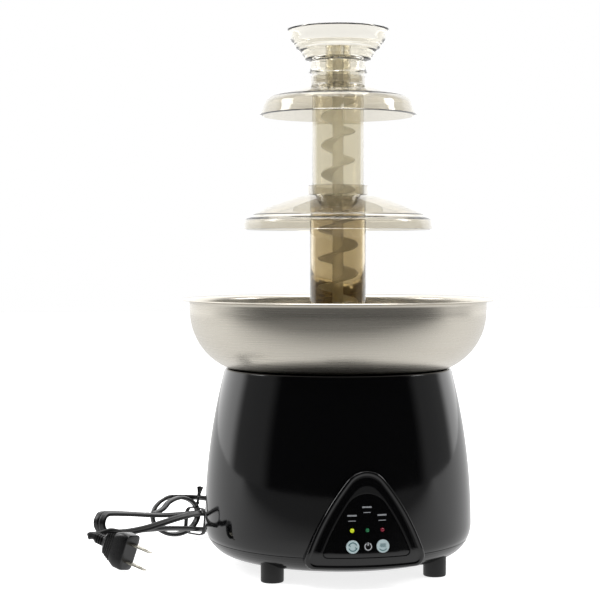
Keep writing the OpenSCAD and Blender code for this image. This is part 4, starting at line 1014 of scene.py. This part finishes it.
def clear_plastic(name, tint, rough, flow_mm):
    """Clear moulded plastic with a smoke tint, slightly uneven from the way it flowed."""
    material, shader = blank(name, Base_Color=colour(tint), Roughness=rough, IOR=1.49, Transmission_Weight=1.0)
    place = node(material, "ShaderNodeTexCoord").outputs["Object"]
    flow = node(material, "ShaderNodeTexNoise", {"Vector": place, "Scale": 1 / (flow_mm * MM), "Detail": 2})
    height = node(material, "ShaderNodeBump",
                  {"Height": flow.outputs["Fac"], "Strength": 0.08, "Distance": 2 * BUMP_DEPTH})
    feed(material, shader, "Normal", height.outputs["Normal"])
    return material


# SAN, moulded clear with a smoke tint: the tiers let most of the light through
pale_smoke = clear_plastic("clear_smoke_san", "e3dfd5", 0.03, 14)
# The cup's wall is thin, so it shows the least tint
cup_smoke = clear_plastic("thin_clear_smoke_san", "f0ede4", 0.03, 14)
# The same plastic in the tubes, seen through more walls and so deeper in tone
tube_smoke = clear_plastic("deep_smoke_san", "e7e2d3", 0.04, 14)
# The lower tube's copy is darker still: painted shade, where the tube stands in the bowl
painted_shade_smoke = clear_plastic("lower_tube_smoke_san_painted_shade", "c0b499", 0.05, 14)
# Translucent auger: light scatters in it, so it shows as a pale solid
auger_smoke = blank("translucent_auger_san", Base_Color=colour("f4efdf"), Roughness=0.3, IOR=1.49,
                    Transmission_Weight=0.5, Alpha=0.6)[0]
# PVC lead, extruded: satin black with a slight orange-peel skin
lead_pvc = wear("extruded_lead_pvc", "09090a", 0.33, 0.08, 1.2, 0.25, base="101011", IOR=1.52)
# PVC plug, moulded: a little shinier than the lead
plug_pvc = wear("moulded_plug_pvc", "070708", 0.3, 0.07, 1.6, 0.2, base="0d0d0e", IOR=1.52)
# Brass blades, nickel plated and rubbed by use
nickel = wear("nickel_plated_brass", "b9b4a4", 0.25, 0.1, 0.8, 0.2, base="d8d4c6", Metallic=1.0)
# Rubber feet: dull black
foot_rubber = wear("moulded_rubber", "0b0b0c", 0.5, 0.1, 0.9, 0.3, base="141415", IOR=1.5)
# Polycarbonate caps: two white ones with a cool tint, and a black one
button_white = wear("white_button_pc", "bccfd2", 0.3, 0.05, 3, 0.05, IOR=1.55)
button_black = wear("black_button_pc", "0a0a0c", 0.28, 0.05, 3, 0.05, IOR=1.55)
# Pad-printed inks: flat, with hardly any gloss
teal_ink = wear("teal_button_ink", "3f6d72", 0.45, 0.05, 1, 0.1)
white_ink = wear("white_panel_ink", "d3d6da", 0.5, 0.08, 0.8, 0.1)
grey_ink = wear("grey_caption_ink", "8f9296", 0.5, 0.08, 0.8, 0.1)


def lamp_epoxy(name, tint, glow):
    return blank(name, Base_Color=colour(tint), Roughness=0.2, IOR=1.5, Transmission_Weight=0.3,
                 Emission_Color=colour(tint), Emission_Strength=glow)[0]


# Lamps: tinted epoxy domes, the first one lit; the green and red ones are unlit and their faint glow is painted
# light
yellow_lamp = lamp_epoxy("yellow_lamp_epoxy", "b5c21c", 0.45)
green_lamp = lamp_epoxy("green_lamp_epoxy_painted_glow", "1f7a4c", 0.08)
red_lamp = lamp_epoxy("red_lamp_epoxy_painted_glow", "8a1430", 0.08)
# Zinc-plated steel: a dull, slightly patchy shine
zinc_plate = wear("zinc_plated_steel", "9a9da2", 0.34, 0.1, 1.4, 0.25, base="b4b7bb", Metallic=1.0)
# Rolled aluminium: pale, with a wide soft gloss
rolled_aluminium = wear("rolled_aluminium", "b4b6b8", 0.4, 0.08, 1.1, 0.3, base="c6c8ca", Metallic=1.0)
# Steel sheath of the heater, browned by its own heat
heater_sheath = wear("oxidised_heater_sheath", "4f4a45", 0.5, 0.12, 1.2, 0.4, base="6b645c", Metallic=1.0)
# Steatite, a pressed ceramic: cream and matt
steatite = wear("pressed_steatite", "cfc8b6", 0.6, 0.08, 0.6, 0.35, base="dcd6c6")
# Acetal of the gears and their case: off-white and waxy
acetal = wear("moulded_acetal", "d9d5c8", 0.42, 0.06, 1.5, 0.15, base="e4e1d6")
# Machined brass: yellow, with bright cut faces
machined_brass = wear("machined_brass", "b98f3f", 0.28, 0.08, 0.5, 0.3, base="cda654", Metallic=1.0)
# Silicone rubber of the seal: brick red and soft in gloss
silicone = wear("moulded_silicone", "5b1f1a", 0.55, 0.08, 0.9, 0.2, base="6c2a22")
# Solder mask: a green lacquer over the board
board_mask = wear("green_solder_mask", "1d5a36", 0.35, 0.08, 1.0, 0.2, base="256b42")
# Nylon of the switches: matt black
switch_black = wear("moulded_switch_nylon", "1c1c1e", 0.5, 0.08, 0.8, 0.2, base="262628")
# ABS cover below: black like the housing and less polished
cover_abs = wear("moulded_cover_abs", "070708", 0.16, 0.04, 4, 0.08, IOR=1.54)


def finish_with(material, *objects):
    for obj in objects:
        obj.data.materials.clear()
        obj.data.materials.append(material)


finish_with(gloss_abs, housing, hood_piece)
finish_with(panel_abs, fascia_plate)
finish_with(brushed_steel, bowl_piece)
finish_with(pale_smoke, large, small)
finish_with(cup_smoke, cup)
finish_with(tube_smoke, upper)
finish_with(painted_shade_smoke, lower)
finish_with(auger_smoke, flight)
finish_with(lead_pvc, mains_lead, twist_tie, relief)
finish_with(plug_pvc, plug_block)
finish_with(nickel, plug_pins)
finish_with(foot_rubber, rubber_feet)
finish_with(button_white, buttons["mix_cap"], buttons["heat_cap"])
finish_with(button_black, buttons["power_cap"])
finish_with(teal_ink, mix_print, heat_print)
finish_with(white_ink, power_print)
finish_with(grey_ink, caption_print)
for lamp, material in zip(lamps, (yellow_lamp, green_lamp, red_lamp)):
    finish_with(material, lamp)
for material, names in (
        (cover_abs, ("bottom_cover",)), (board_mask, ("control_board",)), (switch_black, ("tact_switches",)),
        (silicone, ("shaft_seal",)),
        (bright_steel, ("tower_posts", "output_shaft", "idler_pin", "motor_shaft", "thermal_fuse")),
        (zinc_plate, ("cover_screws", "post_spacers", "post_nuts", "bowl_studs", "stud_nuts",
                      "gearbox_plate", "motor")),
        (rolled_aluminium, ("heater_plate",)), (heater_sheath, ("heating_element",)),
        (steatite, ("thermostat",)), (acetal, ("gearbox_case", "output_gear", "idler_gear")),
        (machined_brass, ("motor_pinion",))):
    for name in names:
        finish_with(material, nodes[name])

# Floor, world and lamps

WHITE = (1, 1, 1, 1)
fresh()
bpy.ops.mesh.primitive_plane_add(size=9)
floor = begin("studio_floor")
floor_paint, shader = blank("white_floor", Base_Color=colour("e8e8e8"), Roughness=0.9)


def seen_and_mirrored(material):
    """1 for rays from the camera or through clear plastic, and 1 for mirrored ones that aren't refracted."""
    rays = node(material, "ShaderNodeLightPath")
    seen = node(material, "ShaderNodeMath",
                {0: rays.outputs["Is Camera Ray"], 1: rays.outputs["Is Transmission Ray"]}, operation="MAXIMUM")
    mirrored = node(material, "ShaderNodeMath",
                    {0: rays.outputs["Is Glossy Ray"], 1: rays.outputs["Is Transmission Ray"]},
                    operation="SUBTRACT", use_clamp=True)
    return rays, seen, mirrored


# The floor glows enough to look white, and keeps the object's shadow
floor_glow = 0.8
rays, seen, mirrored = seen_and_mirrored(floor_paint)
glow = node(floor_paint, "ShaderNodeMath", {0: seen.outputs[0], 1: floor_glow}, operation="MULTIPLY")
light = node(floor_paint, "ShaderNodeEmission", {"Color": WHITE, "Strength": glow.outputs[0]})
total = node(floor_paint, "ShaderNodeAddShader", {0: shader.outputs[0], 1: light.outputs[0]})
# In reflections the floor is dark towards the camera and white behind the object
spot = node(floor_paint, "ShaderNodeNewGeometry").outputs["Position"]
depth = node(floor_paint, "ShaderNodeVectorMath", {0: spot, 1: (0.2, 0.98, 0)}, operation="DOT_PRODUCT")
sweep = node(floor_paint, "ShaderNodeMapRange",
             {0: depth.outputs["Value"], **from_to(-0.5, 0.05, 0.22, 1.0)}, interpolation_type="SMOOTHSTEP")
mirror = node(floor_paint, "ShaderNodeEmission", {"Color": WHITE, "Strength": sweep.outputs[0]})
mixed = node(floor_paint, "ShaderNodeMixShader",
             {0: mirrored.outputs[0], 1: total.outputs[0], 2: mirror.outputs[0]})
feed(floor_paint, floor_paint.node_tree.nodes["Material Output"], "Surface", mixed.outputs[0])
finish_with(floor_paint, floor)

world = bpy.data.worlds.new("studio")
scene.world = world
world.use_nodes = True
sky = world.node_tree.nodes["Background"]
rays, seen, mirrored = seen_and_mirrored(world)
way = node(world, "ShaderNodeTexCoord").outputs["Generated"]
# In reflections the studio is dark in front, grey at the sides, and white behind the object and overhead
behind = node(world, "ShaderNodeVectorMath", {0: way, 1: (0.07, 0.998, 0)}, operation="DOT_PRODUCT")
sides = node(world, "ShaderNodeMapRange",
             {0: behind.outputs["Value"], **from_to(-0.42, -0.18, 0.015, 0.3)}, interpolation_type="SMOOTHSTEP")
sheet_glow = node(world, "ShaderNodeMapRange",
                  {0: behind.outputs["Value"], **from_to(0.28, 0.52, 0, 1.3)}, interpolation_type="SMOOTHSTEP")
height = node(world, "ShaderNodeSeparateXYZ", {"Vector": way})
ceiling = node(world, "ShaderNodeMapRange",
               {0: height.outputs["Z"], **from_to(0.55, 0.9, 0, 0.45)}, interpolation_type="SMOOTHSTEP")
backdrop = node(world, "ShaderNodeMath", {0: sides.outputs[0], 1: sheet_glow.outputs[0]}, operation="ADD")
backdrop = node(world, "ShaderNodeMath", {0: backdrop.outputs[0], 1: ceiling.outputs[0]}, operation="ADD")
gloss = node(world, "ShaderNodeMath", {0: mirrored.outputs[0], 1: backdrop.outputs[0]}, operation="MULTIPLY")
soft_fill = 0.45
fill = node(world, "ShaderNodeMath",
            {0: rays.outputs["Is Diffuse Ray"], 1: soft_fill, 2: gloss.outputs[0]}, operation="MULTIPLY_ADD")
strength = node(world, "ShaderNodeMath", {0: seen.outputs[0], 1: fill.outputs[0]}, operation="MAXIMUM")
sky.inputs["Color"].default_value = WHITE
feed(world, sky, "Strength", strength.outputs[0])


def softbox(name, power, size, place, aim):
    """A rectangular lamp that points at a place."""
    data = bpy.data.lights.new(name, "AREA")
    data.energy, data.shape, data.size, data.size_y = power, "RECTANGLE", size[0], size[1]
    lamp = bpy.data.objects.new(name, data)
    lamp.location = place
    lamp.rotation_euler = (Vector(aim) - Vector(place)).to_track_quat("-Z", "Y").to_euler()
    scene.collection.objects.link(lamp)
    return lamp


softbox("top_box", 10, (1.0, 0.9), (0, 0.05, 1.5), (0, 0, 0.2))
softbox("front_box", 2.5, (0.7, 0.25), (-0.3, -0.65, 1.25), (0, 0, 0.1))
# The bright edges on the housing's left and right
softbox("left_glint", 3, (0.36, 0.45), (-0.95, 0.19, 0.72), (0, 0, 0.05))
softbox("right_glint", 3, (0.3, 0.4), (0.95, -0.19, 0.72), (0, 0, 0.05))
# Light from behind that no surface mirrors
for name, power, place in (("left_box", 9, (-0.58, 1.25, 0.75)), ("right_box", 10, (1.0, 0.95, 0.75))):
    side_box = softbox(name, power, (0.5, 1.2), place, (0, 0, 0.2))
    side_box.visible_glossy = False
    side_box.visible_transmission = False
